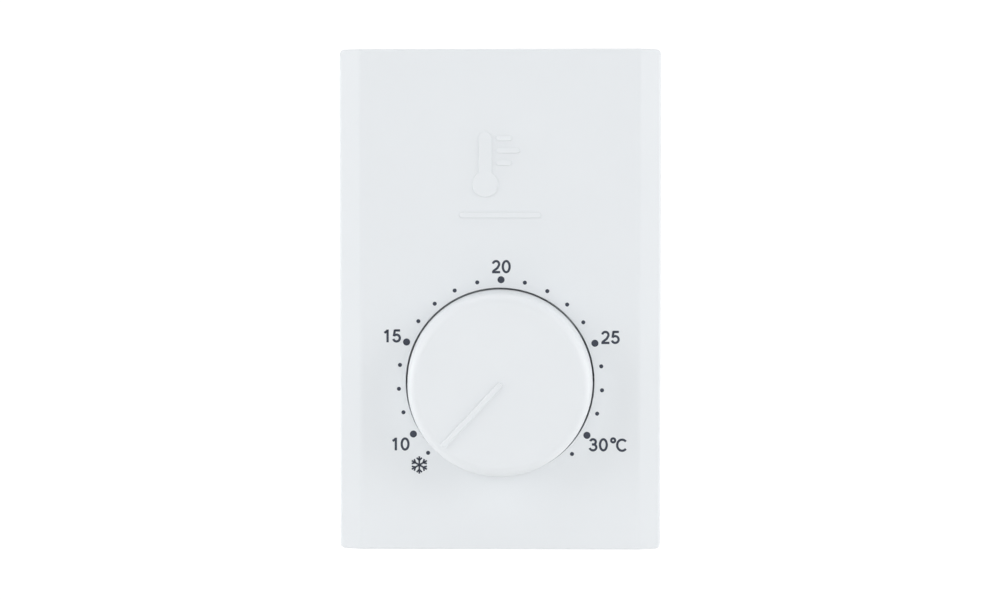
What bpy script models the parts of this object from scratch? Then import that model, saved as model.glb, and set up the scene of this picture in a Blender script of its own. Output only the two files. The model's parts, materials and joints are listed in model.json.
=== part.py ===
"""A line-voltage wall thermostat with a round dial, modelled as its separate pieces.

Metres, +Z up. The wall is the plane y = 0 and the thermostat stands out from it towards -Y,
so every "depth" below is a distance in front of the wall. The origin is the middle of the
base plate's back face.

Turning the knob clockwise turns a snail cam. The cam lets a lever swing, the lever carries a
bimetal strip away from the switch plunger, and the plunger lets the contacts close.
"""

import math

import bmesh
import bpy
from mathutils import Vector

MM = 0.001
GAP = 0.3 * MM  # kept between any two pieces that touch
OVERRUN = 1.0 * MM  # how far a cutter passes a face, and a joined shape enters its neighbour
MERGE = 0.01 * MM  # points closer than this are one point

# Cover: a moulded shell with one flat slope down each side
COVER_WIDTH = 73.5 * MM
COVER_HEIGHT = 114.3 * MM
COVER_BACK = GAP
COVER_FRONT = 27.0 * MM
COVER_WALL = 1.9 * MM
COVER_SLOPE_WIDTH = 5.0 * MM
COVER_SLOPE_DROP = 1.7 * MM
COVER_ROUNDING = 0.9 * MM
DIAL_HOLE_RADIUS = 21.55 * MM
VENT_WIDTH = 2.0 * MM
VENT_PITCH = 5.0 * MM
VENT_DEPTH = (6.0 * MM, 20.0 * MM)
VENTS_EACH_SIDE = 5
EMBLEM_HEIGHT = 0.35 * MM
EMBLEM_BULB = (-3.4 * MM, 26.4 * MM)
EMBLEM_BULB_RADIUS = 3.0 * MM
EMBLEM_STEM_RADIUS = 1.5 * MM
EMBLEM_STEM_TOP = 36.8 * MM
EMBLEM_TICK_START = -0.9 * MM
EMBLEM_TICK_LENGTHS = (3.6 * MM, 5.4 * MM, 3.6 * MM)
EMBLEM_TICK_Z = 31.2 * MM
EMBLEM_TICK_PITCH = 2.8 * MM
EMBLEM_TICK_HEIGHT = 1.2 * MM
CAPTION_BAR_Z = 19.3 * MM
CAPTION_BAR_SIZE = (18.7 * MM, 1.3 * MM)

# Captive screw that holds the bottom of the cover
SCREW_SEAT_DEPTH = 10.5 * MM
SCREW_BOSS_X = 4.2 * MM
SCREW_BOSS_DEPTH = (6.9 * MM, 14.3 * MM)
SCREW_BOSS_TOP = -53.7 * MM
SCREW_HEAD_FLOOR = -55.0 * MM
SCREW_HEAD_RADIUS = 2.7 * MM
SCREW_HEAD_HEIGHT = 1.8 * MM
SCREW_RADIUS = 1.35 * MM
SCREW_CROWN = 0.8  # the flat of a head, of its radius
SCREW_SIDE = 0.6  # the straight side of a head, of its height
SCREW_POINT = 0.5  # the flat of a point, of the shank's radius
CLEARANCE_RADIUS = SCREW_RADIUS + GAP
DRIVE_SLOT_WIDTH = 0.7 * MM
DRIVE_SLOT_DEPTH = 0.8 * MM
COVER_NUT_SIZE = 5.5 * MM
COVER_NUT_HEIGHT = 2.0 * MM
COVER_SCREW_TOP = -48.5 * MM

# Base plate: fixed to the wall or to a device box
BASE_WIDTH = COVER_WIDTH - 2 * (COVER_WALL + GAP)
BASE_HEIGHT = COVER_HEIGHT - 2 * (COVER_WALL + GAP)
BASE_SLAB = 2.4 * MM
BASE_RIM = 1.5 * MM
BASE_RIM_FRONT = 6.4 * MM
BASE_CORNER = 1.2 * MM
BOX_SCREW_SPACING = 83.3 * MM
BOX_SLOT_LENGTH = 9.0 * MM
BOX_SLOT_WIDTH = 4.6 * MM
WIRE_WINDOW_X = 18.0 * MM
WIRE_WINDOW_Z = (-34.0 * MM, -12.0 * MM)
WIRE_WINDOW_CORNER = 2.0 * MM
LUG_X = 5.0 * MM
LUG_Z = (-53.4 * MM, -51.4 * MM)
LUG_FRONT = 14.0 * MM
TONGUE_X = (18.0 * MM, 24.0 * MM)
TONGUE_FRONT = 13.0 * MM
POST_HOLE_FLOOR = 1.2 * MM

# Dial: the knob, its shaft and the cam, all on one axis
DIAL_Z = -18.75 * MM
POINTER_ANGLE = math.radians(-137.0)  # clockwise from straight up
SHAFT_RADIUS = 3.0 * MM
SHAFT_DEPTH = (6.0 * MM, 33.0 * MM)
SHAFT_FLAT_X = 1.9 * MM
SHAFT_FLAT_START = 22.2 * MM
RING_GROOVE_RADIUS = 2.4 * MM
RING_GROOVE_DEPTH = (6.7 * MM, 8.3 * MM)
RETAINER_RADIUS = 4.5 * MM
KNOB_RADIUS = 21.15 * MM
KNOB_FACE_RADIUS = 20.55 * MM
KNOB_DEPTH = (21.3 * MM, 38.5 * MM)
KNOB_WALL = 2.0 * MM
KNOB_ROUNDING = 2.5 * MM
HUB_RADIUS = 5.2 * MM
HUB_BORE_END = 34.0 * MM
POINTER_LENGTH = 18.6 * MM
POINTER_WIDTH = 1.25 * MM
POINTER_HEIGHT = 0.7 * MM
CLAMP_RING_DEPTH = (24.0 * MM, 27.0 * MM)
CLAMP_RING_RADIUS = 6.3 * MM

CAM_DEPTH = (17.9 * MM, 20.3 * MM)
CAM_HIGH = 10.0 * MM
CAM_LOW = 8.0 * MM
CAM_FALL_END = 274  # degrees of the rim over which the radius falls
CAM_RISE_END = 345  # degrees at which it is back at its high radius
CAM_STEP = 7.5  # degrees between the rim's points
STOP_PIN_ORBIT = 7.0 * MM
STOP_PIN_RADIUS = 0.9 * MM
STOP_PIN_BACK = 16.0 * MM

# Sheet-steel frame behind the dial
SHEET = 1.2 * MM
BRACKET_DEPTH = (14.4 * MM, 14.4 * MM + SHEET)
BRACKET_X = 19.0 * MM
BRACKET_Z = (-32.4 * MM, 3.4 * MM)
BRACKET_LEG_Z = (DIAL_Z - 7.0 * MM, DIAL_Z + 7.0 * MM)
BRACKET_FOOT_X = 29.0 * MM
BRACKET_FOOT_DEPTH = (5.3 * MM, 5.3 * MM + SHEET)
BRACKET_SCREW_X = 24.5 * MM
BRACKET_POST_RADIUS = 3.4 * MM
STOP_TAB_X = 3.9 * MM
STOP_TAB_Z = (DIAL_Z - 8.5 * MM, DIAL_Z - 6.0 * MM)
STOP_TAB_FRONT = 17.4 * MM

# Bushing that the shaft turns in
BUSHING_BORE = SHAFT_RADIUS + GAP
BUSHING_RADIUS = 4.4 * MM
BUSHING_BACK = 8.5 * MM
FLANGE_RADIUS = 5.6 * MM
FLANGE_DEPTH = (BRACKET_DEPTH[1] + GAP, 16.7 * MM)
BUSHING_NUT_DEPTH = (11.5 * MM, BRACKET_DEPTH[0] - GAP)
BUSHING_NUT_FLATS = 12.0 * MM
WASHER_DEPTH = (17.0 * MM, 17.6 * MM)
WASHER_RADIUS = 5.5 * MM

# Lever that follows the cam, and the bimetal strip on it
PIVOT_X = 15.0 * MM
PIVOT_Z = 0.0 * MM
PIVOT_PIN_RADIUS = 1.5 * MM
PIVOT_PIN_HEAD = 2.6 * MM
PIVOT_PIN_TAIL = 2.3 * MM
PIVOT_HEAD_THICKNESS = 0.7 * MM
LEVER_DEPTH = (18.4 * MM, 18.4 * MM + SHEET)
LEVER_EYE_RADIUS = 4.0 * MM
FOLLOWER_RADIUS = 1.5 * MM
FOLLOWER_X = CAM_HIGH + GAP + FOLLOWER_RADIUS
LEVER_ARM_X = (14.0 * MM, 18.5 * MM)
LEVER_ARM_TOP = 12.0 * MM
LEVER_TAB_Z = (4.0 * MM, LEVER_ARM_TOP)
LEVER_TAB_BACK = 6.0 * MM
SPACER_DEPTH = (15.9 * MM, 18.1 * MM)
SPACER_RADIUS = 2.6 * MM
RETURN_COIL_RADIUS = 3.2 * MM
RETURN_WIRE_RADIUS = 0.3 * MM
RETURN_COIL_DEPTH = (16.35 * MM, 17.75 * MM)
RETURN_COIL_TURNS = 1.75
RETURN_LEG_START_X = 7.5 * MM
RETURN_LEG_END = (13.35 * MM, 9.5 * MM)
STRIP_X = (12.9 * MM, 13.7 * MM)
STRIP_Z = (4.5 * MM, 33.0 * MM)
STRIP_DEPTH = (6.5 * MM, 12.5 * MM)
STRIP_FLEX_Z = 12.0 * MM
RIVET_Z = {"lower": 6.2 * MM, "upper": 9.8 * MM}
RIVET_SHANK_RADIUS = 0.9 * MM
RIVET_HEAD_RADIUS = 1.7 * MM
RIVET_HEAD = 0.8 * MM
SWITCH_AXIS_DEPTH = 9.5 * MM  # the rivets, the calibration screw and the plunger all lie here
PLUNGER_Z = 28.0 * MM
CALIBRATION_SCREW_X = (10.4 * MM, 18.5 * MM)
CALIBRATION_SCREW_RADIUS = 1.25 * MM
CALIBRATION_NUT_THICKNESS = 1.8 * MM
CALIBRATION_NUT_FLATS = 4.5 * MM

# Snap switch: a moulded tray with its contacts and terminals
TRAY_X = (-24.0 * MM, 8.0 * MM)
TRAY_Z = (4.0 * MM, 37.0 * MM)
TRAY_DEPTH = (BASE_SLAB + GAP, 13.7 * MM)
TRAY_WALL = 2.0 * MM
TRAY_FLOOR = 4.9 * MM
PARTITION_X = (-8.5 * MM, -7.0 * MM)
PARTITION_TOP = 28.5 * MM
PARTITION_FRONT = 12.0 * MM
WIRE_NOTCH_WIDTH = 6.0 * MM
WIRE_NOTCH_BACK = 6.5 * MM
EAR_DEPTH = (8.3 * MM, 10.5 * MM)
EAR_RADIUS = 2.8 * MM
SWITCH_POSTS = {"lower": (-27.1 * MM, 9.5 * MM), "upper": (11.9 * MM, 36.7 * MM)}
SWITCH_POST_FRONT = 8.0 * MM
SWITCH_POST_HOLE_FLOOR = 3.0 * MM
PLUNGER_RADIUS = 1.5 * MM
PLUNGER_X = (-0.2 * MM, 10.1 * MM)
PLUNGER_END_RADIUS = 0.9 * MM
PLUNGER_CHAMFER = 0.6 * MM

STRAP = 1.0 * MM  # thickness of the terminals' brass
STRAP_DEPTH = (TRAY_FLOOR + GAP, TRAY_FLOOR + GAP + STRAP)
BEND_SET = 0.1 * MM  # how far a bent-up tab stands off the edges of its strap
PAD_Z = (6.6 * MM, 14.6 * MM)
TERMINAL_SCREW_X = {"load": -15.0 * MM, "line": 0.25 * MM}
TERMINAL_SCREW_Z = 10.3 * MM
TERMINAL_PAD_X = {"load": (-20.0 * MM, -10.0 * MM), "line": (-4.5 * MM, 5.0 * MM)}
TERMINAL_SCREW_RADIUS = 1.6 * MM
TERMINAL_HEAD_RADIUS = 3.2 * MM
TERMINAL_HEAD_DEPTH = (9.5 * MM, 11.7 * MM)
TERMINAL_SCREW_BACK = 3.6 * MM
TERMINAL_POCKET_FLOOR = 3.3 * MM
CLAMP_DEPTH = (8.2 * MM, 9.2 * MM)
CLAMP_HALF_WIDTH = 4.0 * MM
CLAMP_HALF_HEIGHT = 3.4 * MM
LOAD_STRAP_X = (-17.5 * MM, -12.5 * MM)
LOAD_CROSS_Z = (30.5 * MM, 34.5 * MM)
LOAD_TAB_X = (3.4 * MM, 3.4 * MM + STRAP)
TAB_FRONT = 12.0 * MM
LINE_TAB_X = (-2.3 * MM, -1.3 * MM)
LINE_TAB_Z = (14.0 * MM, 20.0 * MM)
LINE_SHELF_Z = (15.0 * MM, 16.6 * MM)
LINE_LIP_X = (0.0 * MM, 0.8 * MM)
LINE_LIP_TOP = 18.0 * MM

ARM_X = (-1.0 * MM, -0.5 * MM)
ARM_Z = (17.0 * MM, 34.5 * MM)
ARM_DEPTH = (7.0 * MM, 12.0 * MM)
CONTACT_Z = 32.5 * MM
CONTACT_RADIUS = 1.6 * MM
CONTACT_THICKNESS = 0.9 * MM
CONTACT_CROWN_RADIUS = 1.28 * MM
CONTACT_SIDE = 0.63 * MM
CONTACT_SHANK_RADIUS = 0.7 * MM
CONTACT_TAIL_RADIUS = 1.1 * MM
CONTACT_TAIL = 0.4 * MM
MAGNET_X = (2.0 * MM, 5.0 * MM)
MAGNET_Z = (19.5 * MM, 24.5 * MM)
ARMATURE_THICKNESS = 0.8 * MM
SPRING_Z = 25.6 * MM
SPRING_RADIUS = 1.5 * MM
SPRING_WIRE_RADIUS = 0.22 * MM
SPRING_TURNS = 5
RESISTOR_X = -10.9 * MM
RESISTOR_Z = (17.5 * MM, 24.0 * MM)
RESISTOR_RADIUS = 1.6 * MM
RESISTOR_NECK = 0.5 * MM
RESISTOR_END_RADIUS = 1.12 * MM
LEAD_BEND = 1.2 * MM
LEAD_RADIUS = 0.3 * MM

# Facets
SHARP_ANGLE = 15  # degrees at which an edge is rounded
SMOOTH_BELOW = 35  # degrees at which an edge shows
ROUND = 24
SMALL_ROUND = 16
DIAL_ROUND = 56
WIRE_POINTS_A_TURN = 12
END_STEPS = 8  # round half an emblem's or a slot's end
PIVOT_MARK = 5 * MM

FRONT = Vector((0.0, -1.0, 0.0))
RIGHT = Vector((1.0, 0.0, 0.0))
UP = Vector((0.0, 0.0, 1.0))

# Colour, roughness and metallic value of each finish
FINISHES = {
    "white_abs": ((0.86, 0.87, 0.88), 0.45, 0.0),
    "grey_abs": ((0.70, 0.71, 0.72), 0.55, 0.0),
    "phenolic": ((0.05, 0.045, 0.04), 0.5, 0.0),
    "zinc_steel": ((0.62, 0.63, 0.65), 0.35, 1.0),
    "spring_steel": ((0.48, 0.48, 0.50), 0.3, 1.0),
    "brass": ((0.78, 0.60, 0.30), 0.3, 1.0),
    "bimetal": ((0.70, 0.62, 0.50), 0.35, 1.0),
    "silver": ((0.86, 0.86, 0.84), 0.25, 1.0),
    "magnet": ((0.10, 0.10, 0.11), 0.6, 0.0),
    "nylon": ((0.85, 0.83, 0.76), 0.5, 0.0),
    "resistor_enamel": ((0.20, 0.35, 0.25), 0.4, 0.0),
    "tinned_copper": ((0.72, 0.70, 0.68), 0.3, 1.0),
}


def clear_scene():
    for obj in list(bpy.data.objects):
        bpy.data.objects.remove(obj, do_unlink=True)


def new_collection(name):
    collection = bpy.data.collections.new(name)
    bpy.context.scene.collection.children.link(collection)
    return collection


def own_material(name, finish):
    colour, roughness, metallic = FINISHES[finish]
    material = bpy.data.materials.new(name)
    material.use_nodes = True
    shader = material.node_tree.nodes["Principled BSDF"]
    shader.inputs["Base Color"].default_value = (*colour, 1.0)
    shader.inputs["Roughness"].default_value = roughness
    shader.inputs["Metallic"].default_value = metallic
    return material


def point(x, depth, z):
    """A place by its distance in front of the wall."""
    return Vector((x, -depth, z))


def add(name, data, finish, pivot):
    """Makes the object: a piece where it has a finish, or else a cutter."""
    obj = bpy.data.objects.new(name, data)
    if finish is None:
        cutters.objects.link(obj)
        obj.hide_render = True
        obj.display_type = "WIRE"
        return obj
    parts.objects.link(obj)
    data.materials.append(own_material(name, finish))
    if pivot is not None:
        obj.parent = pivot
        obj.matrix_parent_inverse = pivot.matrix_world.inverted()
    return obj


def mesh_from(name, shape):
    mesh = bpy.data.meshes.new(name)
    shape.to_mesh(mesh)
    shape.free()
    return mesh


def shade_round(mesh):
    mesh.shade_smooth()
    mesh.set_sharp_from_angle(angle=math.radians(SMOOTH_BELOW))


def block(name, x, depth, z, finish=None, pivot=None, rounding=0.0):
    """A box between its low and high x, depth and z."""
    shape = bmesh.new()
    bmesh.ops.create_cube(shape, size=1.0)
    size = (x[1] - x[0], depth[1] - depth[0], z[1] - z[0])
    bmesh.ops.scale(shape, vec=size, verts=shape.verts)
    obj = add(name, mesh_from(name, shape), finish, pivot)
    obj.location = point((x[0] + x[1]) / 2, (depth[0] + depth[1]) / 2, (z[0] + z[1]) / 2)
    if rounding:
        round_edges(obj, rounding)
    return obj


def round_edges(obj, width, segments=2):
    bevel = obj.modifiers.new("Rounding", "BEVEL")
    bevel.width = width
    bevel.segments = segments
    bevel.limit_method = "ANGLE"
    bevel.angle_limit = math.radians(SHARP_ANGLE)


def rod(name, radius, start, end, finish=None, pivot=None, sides=ROUND):
    """A round bar between two (x, depth, z) places, or a hexagonal one with six sides."""
    axis = point(*end) - point(*start)
    shape = bmesh.new()
    bmesh.ops.create_cone(
        shape, cap_ends=True, segments=sides, radius1=radius, radius2=radius, depth=axis.length
    )
    obj = add(name, mesh_from(name, shape), finish, pivot)
    obj.location = (point(*start) + point(*end)) / 2
    obj.rotation_euler = axis.to_track_quat("Z", "Y").to_euler()
    if sides > 6:
        shade_round(obj.data)
    return obj


def turned(name, origin, along, profile, closed, finish, pivot=None, sides=ROUND):
    """A turned piece. Its (radius, distance along the axis) points run backwards on the outer side."""
    mesh = bpy.data.meshes.new(name)
    count = len(profile)
    edges = [(i, (i + 1) % count) for i in range(count if closed else count - 1)]
    mesh.from_pydata([(radius, 0.0, distance) for radius, distance in profile], edges, [])
    obj = add(name, mesh, finish, pivot)
    obj.location = origin
    obj.rotation_euler = along.to_track_quat("Z", "Y").to_euler()
    screw = obj.modifiers.new("Turning", "SCREW")
    screw.axis = "Z"
    screw.angle = math.tau
    screw.steps = sides
    screw.render_steps = sides
    screw.use_merge_vertices = True
    screw.merge_threshold = MERGE
    screw.use_smooth_shade = True
    return obj


def ring(name, origin, along, inner, outer, length, finish, pivot=None, sides=ROUND):
    """A plain ring from origin to length along the axis."""
    profile = [(outer, length), (outer, 0.0), (inner, 0.0), (inner, length)]
    return turned(name, origin, along, profile, True, finish, pivot, sides)


def arc(centre, radius, start, end, steps):
    """Points on an arc in the x-z plane, from one angle to another, both included."""
    angles = [start + (end - start) * i / steps for i in range(steps + 1)]
    return [(centre[0] + radius * math.cos(a), centre[1] + radius * math.sin(a)) for a in angles]


def circle(centre, radius, sides=ROUND):
    return arc(centre, radius, 0.0, math.tau, sides)[:-1]


def as_mesh(obj):
    """The same piece as a mesh, so that it can be cut or joined."""
    bpy.context.view_layer.update()
    graph = bpy.context.evaluated_depsgraph_get()
    mesh = bpy.data.meshes.new_from_object(obj.evaluated_get(graph))
    shape = bmesh.new()
    shape.from_mesh(mesh)
    bmesh.ops.remove_doubles(shape, verts=shape.verts, dist=MERGE)
    bmesh.ops.recalc_face_normals(shape, faces=shape.faces)
    shape.to_mesh(mesh)
    shape.free()
    made = bpy.data.objects.new(obj.name, mesh)
    for collection in obj.users_collection:
        collection.objects.link(made)
    made.parent = obj.parent
    made.matrix_parent_inverse = obj.matrix_parent_inverse.copy()
    made.hide_render = obj.hide_render
    made.display_type = obj.display_type
    made.location = obj.location.copy()
    made.rotation_euler = obj.rotation_euler.copy()
    name = obj.name
    bpy.data.objects.remove(obj, do_unlink=True)
    made.name = name
    return made


def sheet(name, outlines, depth, finish=None, pivot=None):
    """A flat piece from its (x, z) outlines: the first is its edge and the others are its holes."""
    curve = bpy.data.curves.new(name, "CURVE")
    curve.dimensions = "2D"
    curve.fill_mode = "BOTH"
    curve.extrude = (depth[1] - depth[0]) / 2
    for outline in outlines:
        spline = curve.splines.new("POLY")
        spline.points.add(len(outline) - 1)
        for target, (x, z) in zip(spline.points, outline):
            target.co = (x, z, 0.0, 1.0)
        spline.use_cyclic_u = True
    obj = add(name, curve, finish, pivot)
    obj.location = point(0.0, (depth[0] + depth[1]) / 2, 0.0)
    obj.rotation_euler = (math.pi / 2, 0.0, 0.0)
    return as_mesh(obj)


def wire(name, path, radius, finish, pivot=None):
    """A round wire along (x, depth, z) places."""
    curve = bpy.data.curves.new(name, "CURVE")
    curve.dimensions = "3D"
    curve.bevel_depth = radius
    curve.bevel_resolution = 1
    curve.use_fill_caps = True
    spline = curve.splines.new("POLY")
    spline.points.add(len(path) - 1)
    for target, place in zip(spline.points, path):
        target.co = (*point(*place), 1.0)
    return add(name, curve, finish, pivot)


def boolean(obj, other, operation):
    modifier = obj.modifiers.new(operation.title(), "BOOLEAN")
    modifier.operation = operation
    modifier.object = other
    modifier.solver = "EXACT"


def cut(obj, cutter):
    boolean(obj, cutter, "DIFFERENCE")


def join(obj, other):
    boolean(obj, other, "UNION")


def pivot_at(name, x, z, parent=None):
    """An empty on a joint's axis, which the joint's moving pieces hang from."""
    empty = bpy.data.objects.new(name, None)
    parts.objects.link(empty)
    empty.location = point(x, 0.0, z)
    empty.empty_display_size = PIVOT_MARK
    if parent is not None:
        empty.parent = parent
        empty.matrix_parent_inverse = parent.matrix_world.inverted()
    bpy.context.view_layer.update()
    return empty


def stadium(centre, length, width):
    """A slot's outline, lying along x."""
    half = (length - width) / 2
    right = arc((centre[0] + half, centre[1]), width / 2, -math.pi / 2, math.pi / 2, END_STEPS)
    left = arc(
        (centre[0] - half, centre[1]), width / 2, math.pi / 2, 1.5 * math.pi, END_STEPS
    )
    return right + left


def screw(name, origin, along, length, finish, pivot=None, radius=SCREW_RADIUS,
          head_radius=SCREW_HEAD_RADIUS, head=SCREW_HEAD_HEIGHT):
    """A slotted pan-head screw. The origin is under its head, and along points out of the head."""
    profile = [
        (0.0, head),
        (head_radius * SCREW_CROWN, head),
        (head_radius, head * SCREW_SIDE),
        (head_radius, 0.0),
        (radius, 0.0),
        (radius, radius * SCREW_POINT - length),
        (radius * SCREW_POINT, -length),
        (0.0, -length),
    ]
    obj = turned(name, origin, along, profile, False, finish, pivot, SMALL_ROUND)
    slot = block(
        name + "_slot",
        (-head_radius - OVERRUN, head_radius + OVERRUN),
        (-DRIVE_SLOT_WIDTH / 2, DRIVE_SLOT_WIDTH / 2),
        (head - DRIVE_SLOT_DEPTH, head + OVERRUN),
    )
    turn = along.to_track_quat("Z", "Y")
    slot.location = origin + turn @ Vector((0.0, 0.0, head + (OVERRUN - DRIVE_SLOT_DEPTH) / 2))
    slot.rotation_euler = turn.to_euler()
    cut(obj, slot)
    return obj


def hex_radius(flats):
    """Corner radius of a hexagon from its size across the flats."""
    return flats / math.sqrt(3)


def make_cover(cover_pivot):
    half_x = COVER_WIDTH / 2
    half_z = COVER_HEIGHT / 2
    cover = block(
        "front_cover", (-half_x, half_x), (COVER_BACK, COVER_FRONT), (-half_z, half_z),
        "white_abs", cover_pivot,
    )
    slope_and_open(cover.data)
    shell = cover.modifiers.new("Wall", "SOLIDIFY")
    shell.thickness = COVER_WALL
    shell.offset = -1.0
    shell.use_even_offset = True
    round_edges(cover, COVER_ROUNDING)

    join(cover, block(
        "cover_screw_boss", (-SCREW_BOSS_X, SCREW_BOSS_X), SCREW_BOSS_DEPTH,
        (COVER_WALL / 2 - half_z, SCREW_BOSS_TOP),
    ))
    cut(cover, rod(
        "dial_hole", DIAL_HOLE_RADIUS, (0.0, COVER_FRONT - COVER_WALL - OVERRUN, DIAL_Z),
        (0.0, COVER_FRONT + OVERRUN, DIAL_Z), sides=DIAL_ROUND,
    ))
    cut(cover, rod(
        "cover_screw_hole", CLEARANCE_RADIUS, (0.0, SCREW_SEAT_DEPTH, -half_z),
        (0.0, SCREW_SEAT_DEPTH, SCREW_BOSS_TOP + OVERRUN), sides=SMALL_ROUND,
    ))
    cut(cover, rod(
        "cover_screw_counterbore", SCREW_HEAD_RADIUS + GAP,
        (0.0, SCREW_SEAT_DEPTH, -half_z - OVERRUN), (0.0, SCREW_SEAT_DEPTH, SCREW_HEAD_FLOOR),
    ))
    for side in (-1, 1):
        for number in range(-VENTS_EACH_SIDE, VENTS_EACH_SIDE + 1):
            x = number * VENT_PITCH
            if side < 0 and abs(x) < SCREW_BOSS_X + VENT_PITCH:
                continue
            ends = sorted((side * (half_z - COVER_WALL - OVERRUN), side * (half_z + OVERRUN)))
            cut(cover, block(
                f"vent_{side:+d}_{number:+d}", (x - VENT_WIDTH / 2, x + VENT_WIDTH / 2),
                VENT_DEPTH, ends,
            ))
    for shape in emblem_shapes():
        join(cover, shape)
    return cover


def slope_and_open(mesh):
    """Slopes the two upright front edges of the cover's box and takes off its back."""
    shape = bmesh.new()
    shape.from_mesh(mesh)
    front = min(vert.co.y for vert in shape.verts)
    upright = [
        edge for edge in shape.edges
        if all(abs(vert.co.y - front) < GAP for vert in edge.verts)
        and abs(edge.verts[0].co.z - edge.verts[1].co.z) > GAP
    ]
    bmesh.ops.bevel(
        shape, geom=upright, offset=COVER_SLOPE_WIDTH, segments=1, profile=0.5, affect="EDGES",
        material=-1,
    )
    foot = front + COVER_SLOPE_WIDTH
    slope_feet = [vert for vert in shape.verts if abs(vert.co.y - foot) < GAP]
    forward = FRONT * (COVER_SLOPE_WIDTH - COVER_SLOPE_DROP)
    bmesh.ops.translate(shape, vec=forward, verts=slope_feet)
    shape.normal_update()
    back = [face for face in shape.faces if face.normal.y > 0.9]
    bmesh.ops.delete(shape, geom=back, context="FACES_ONLY")
    shape.to_mesh(mesh)
    shape.free()


def emblem_shapes():
    """A plain raised thermometer with three ticks, over a raised bar."""
    depth = (COVER_FRONT - OVERRUN, COVER_FRONT + EMBLEM_HEIGHT)
    stem_top = (EMBLEM_BULB[0], EMBLEM_STEM_TOP)
    neck = math.asin(EMBLEM_STEM_RADIUS / EMBLEM_BULB_RADIUS)
    outline = arc(stem_top, EMBLEM_STEM_RADIUS, 0.0, math.pi, END_STEPS)
    outline += arc(EMBLEM_BULB, EMBLEM_BULB_RADIUS, math.pi / 2 + neck, 2.5 * math.pi - neck,
                   2 * END_STEPS)
    shapes = [sheet("emblem_thermometer", [outline], depth)]
    for number, length in enumerate(EMBLEM_TICK_LENGTHS):
        z = EMBLEM_TICK_Z + EMBLEM_TICK_PITCH * number
        shapes.append(block(
            f"emblem_tick_{number}", (EMBLEM_TICK_START, EMBLEM_TICK_START + length), depth,
            (z - EMBLEM_TICK_HEIGHT / 2, z + EMBLEM_TICK_HEIGHT / 2),
        ))
    width, height = CAPTION_BAR_SIZE
    shapes.append(block(
        "emblem_bar", (-width / 2, width / 2), depth,
        (CAPTION_BAR_Z - height / 2, CAPTION_BAR_Z + height / 2),
    ))
    return shapes


def make_cover_fixing(cover_pivot):
    seat = point(0.0, SCREW_SEAT_DEPTH, SCREW_HEAD_FLOOR - GAP)
    screw("cover_screw", seat, -UP, COVER_SCREW_TOP - seat.z, "zinc_steel", cover_pivot)
    half = COVER_NUT_SIZE / 2
    bottom = LUG_Z[1] + GAP
    nut = block(
        "cover_nut", (-half, half), (SCREW_SEAT_DEPTH - half, SCREW_SEAT_DEPTH + half),
        (bottom, bottom + COVER_NUT_HEIGHT), "zinc_steel", cover_pivot,
    )
    cut(nut, rod(
        "cover_nut_thread", CLEARANCE_RADIUS, (0.0, SCREW_SEAT_DEPTH, bottom - OVERRUN),
        (0.0, SCREW_SEAT_DEPTH, bottom + COVER_NUT_HEIGHT + OVERRUN), sides=SMALL_ROUND,
    ))


def make_base():
    half_x = BASE_WIDTH / 2
    half_z = BASE_HEIGHT / 2
    base = block(
        "base_plate", (-half_x, half_x), (0.0, BASE_RIM_FRONT), (-half_z, half_z), "grey_abs"
    )
    round_upright(base.data, BASE_CORNER)
    cut(base, block(
        "base_pocket", (BASE_RIM - half_x, half_x - BASE_RIM), (BASE_SLAB, BASE_RIM_FRONT + OVERRUN),
        (BASE_RIM - half_z, half_z - BASE_RIM),
    ))
    window = block(
        "wire_window", (-WIRE_WINDOW_X, WIRE_WINDOW_X), (-OVERRUN, BASE_SLAB + OVERRUN), WIRE_WINDOW_Z
    )
    round_upright(window.data, WIRE_WINDOW_CORNER)
    cut(base, window)
    for side in (-1, 1):
        slot = stadium((0.0, side * BOX_SCREW_SPACING / 2), BOX_SLOT_LENGTH, BOX_SLOT_WIDTH)
        cut(base, sheet(f"box_screw_slot_{side:+d}", [slot], (-OVERRUN, BASE_SLAB + OVERRUN)))
        join(base, block(
            f"tongue_{side:+d}", sorted((side * TONGUE_X[0], side * TONGUE_X[1])),
            (BASE_SLAB - OVERRUN, TONGUE_FRONT), (half_z - BASE_RIM, half_z),
        ))
        add_post(base, f"bracket_post_{side:+d}", (side * BRACKET_SCREW_X, DIAL_Z),
                 BRACKET_POST_RADIUS, BRACKET_FOOT_DEPTH[0] - GAP, POST_HOLE_FLOOR)
    for name, place in SWITCH_POSTS.items():
        add_post(base, f"switch_post_{name}", place, EAR_RADIUS, SWITCH_POST_FRONT,
                 SWITCH_POST_HOLE_FLOOR)
    join(base, block("cover_lug", (-LUG_X, LUG_X), (BASE_SLAB - OVERRUN, LUG_FRONT), LUG_Z))
    cut(base, block(
        "cover_lug_slot", (-CLEARANCE_RADIUS, CLEARANCE_RADIUS),
        (SCREW_SEAT_DEPTH - CLEARANCE_RADIUS, LUG_FRONT + OVERRUN),
        (LUG_Z[0] - OVERRUN, LUG_Z[1] + OVERRUN),
    ))


def round_upright(mesh, radius):
    """Rounds a box's four front-to-back edges."""
    shape = bmesh.new()
    shape.from_mesh(mesh)
    edges = [e for e in shape.edges if abs(e.verts[0].co.y - e.verts[1].co.y) > GAP]
    bmesh.ops.bevel(
        shape, geom=edges, offset=radius, segments=3, profile=0.5, affect="EDGES", material=-1
    )
    shape.to_mesh(mesh)
    shape.free()


def add_post(base, name, place, radius, front, hole_floor):
    """A post on the base plate with a blind hole for a thread-forming screw."""
    x, z = place
    join(base, rod(name, radius, (x, BASE_SLAB - OVERRUN, z), (x, front, z)))
    cut(base, rod(
        name + "_hole", CLEARANCE_RADIUS, (x, hole_floor, z), (x, front + OVERRUN, z),
        sides=SMALL_ROUND,
    ))


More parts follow.
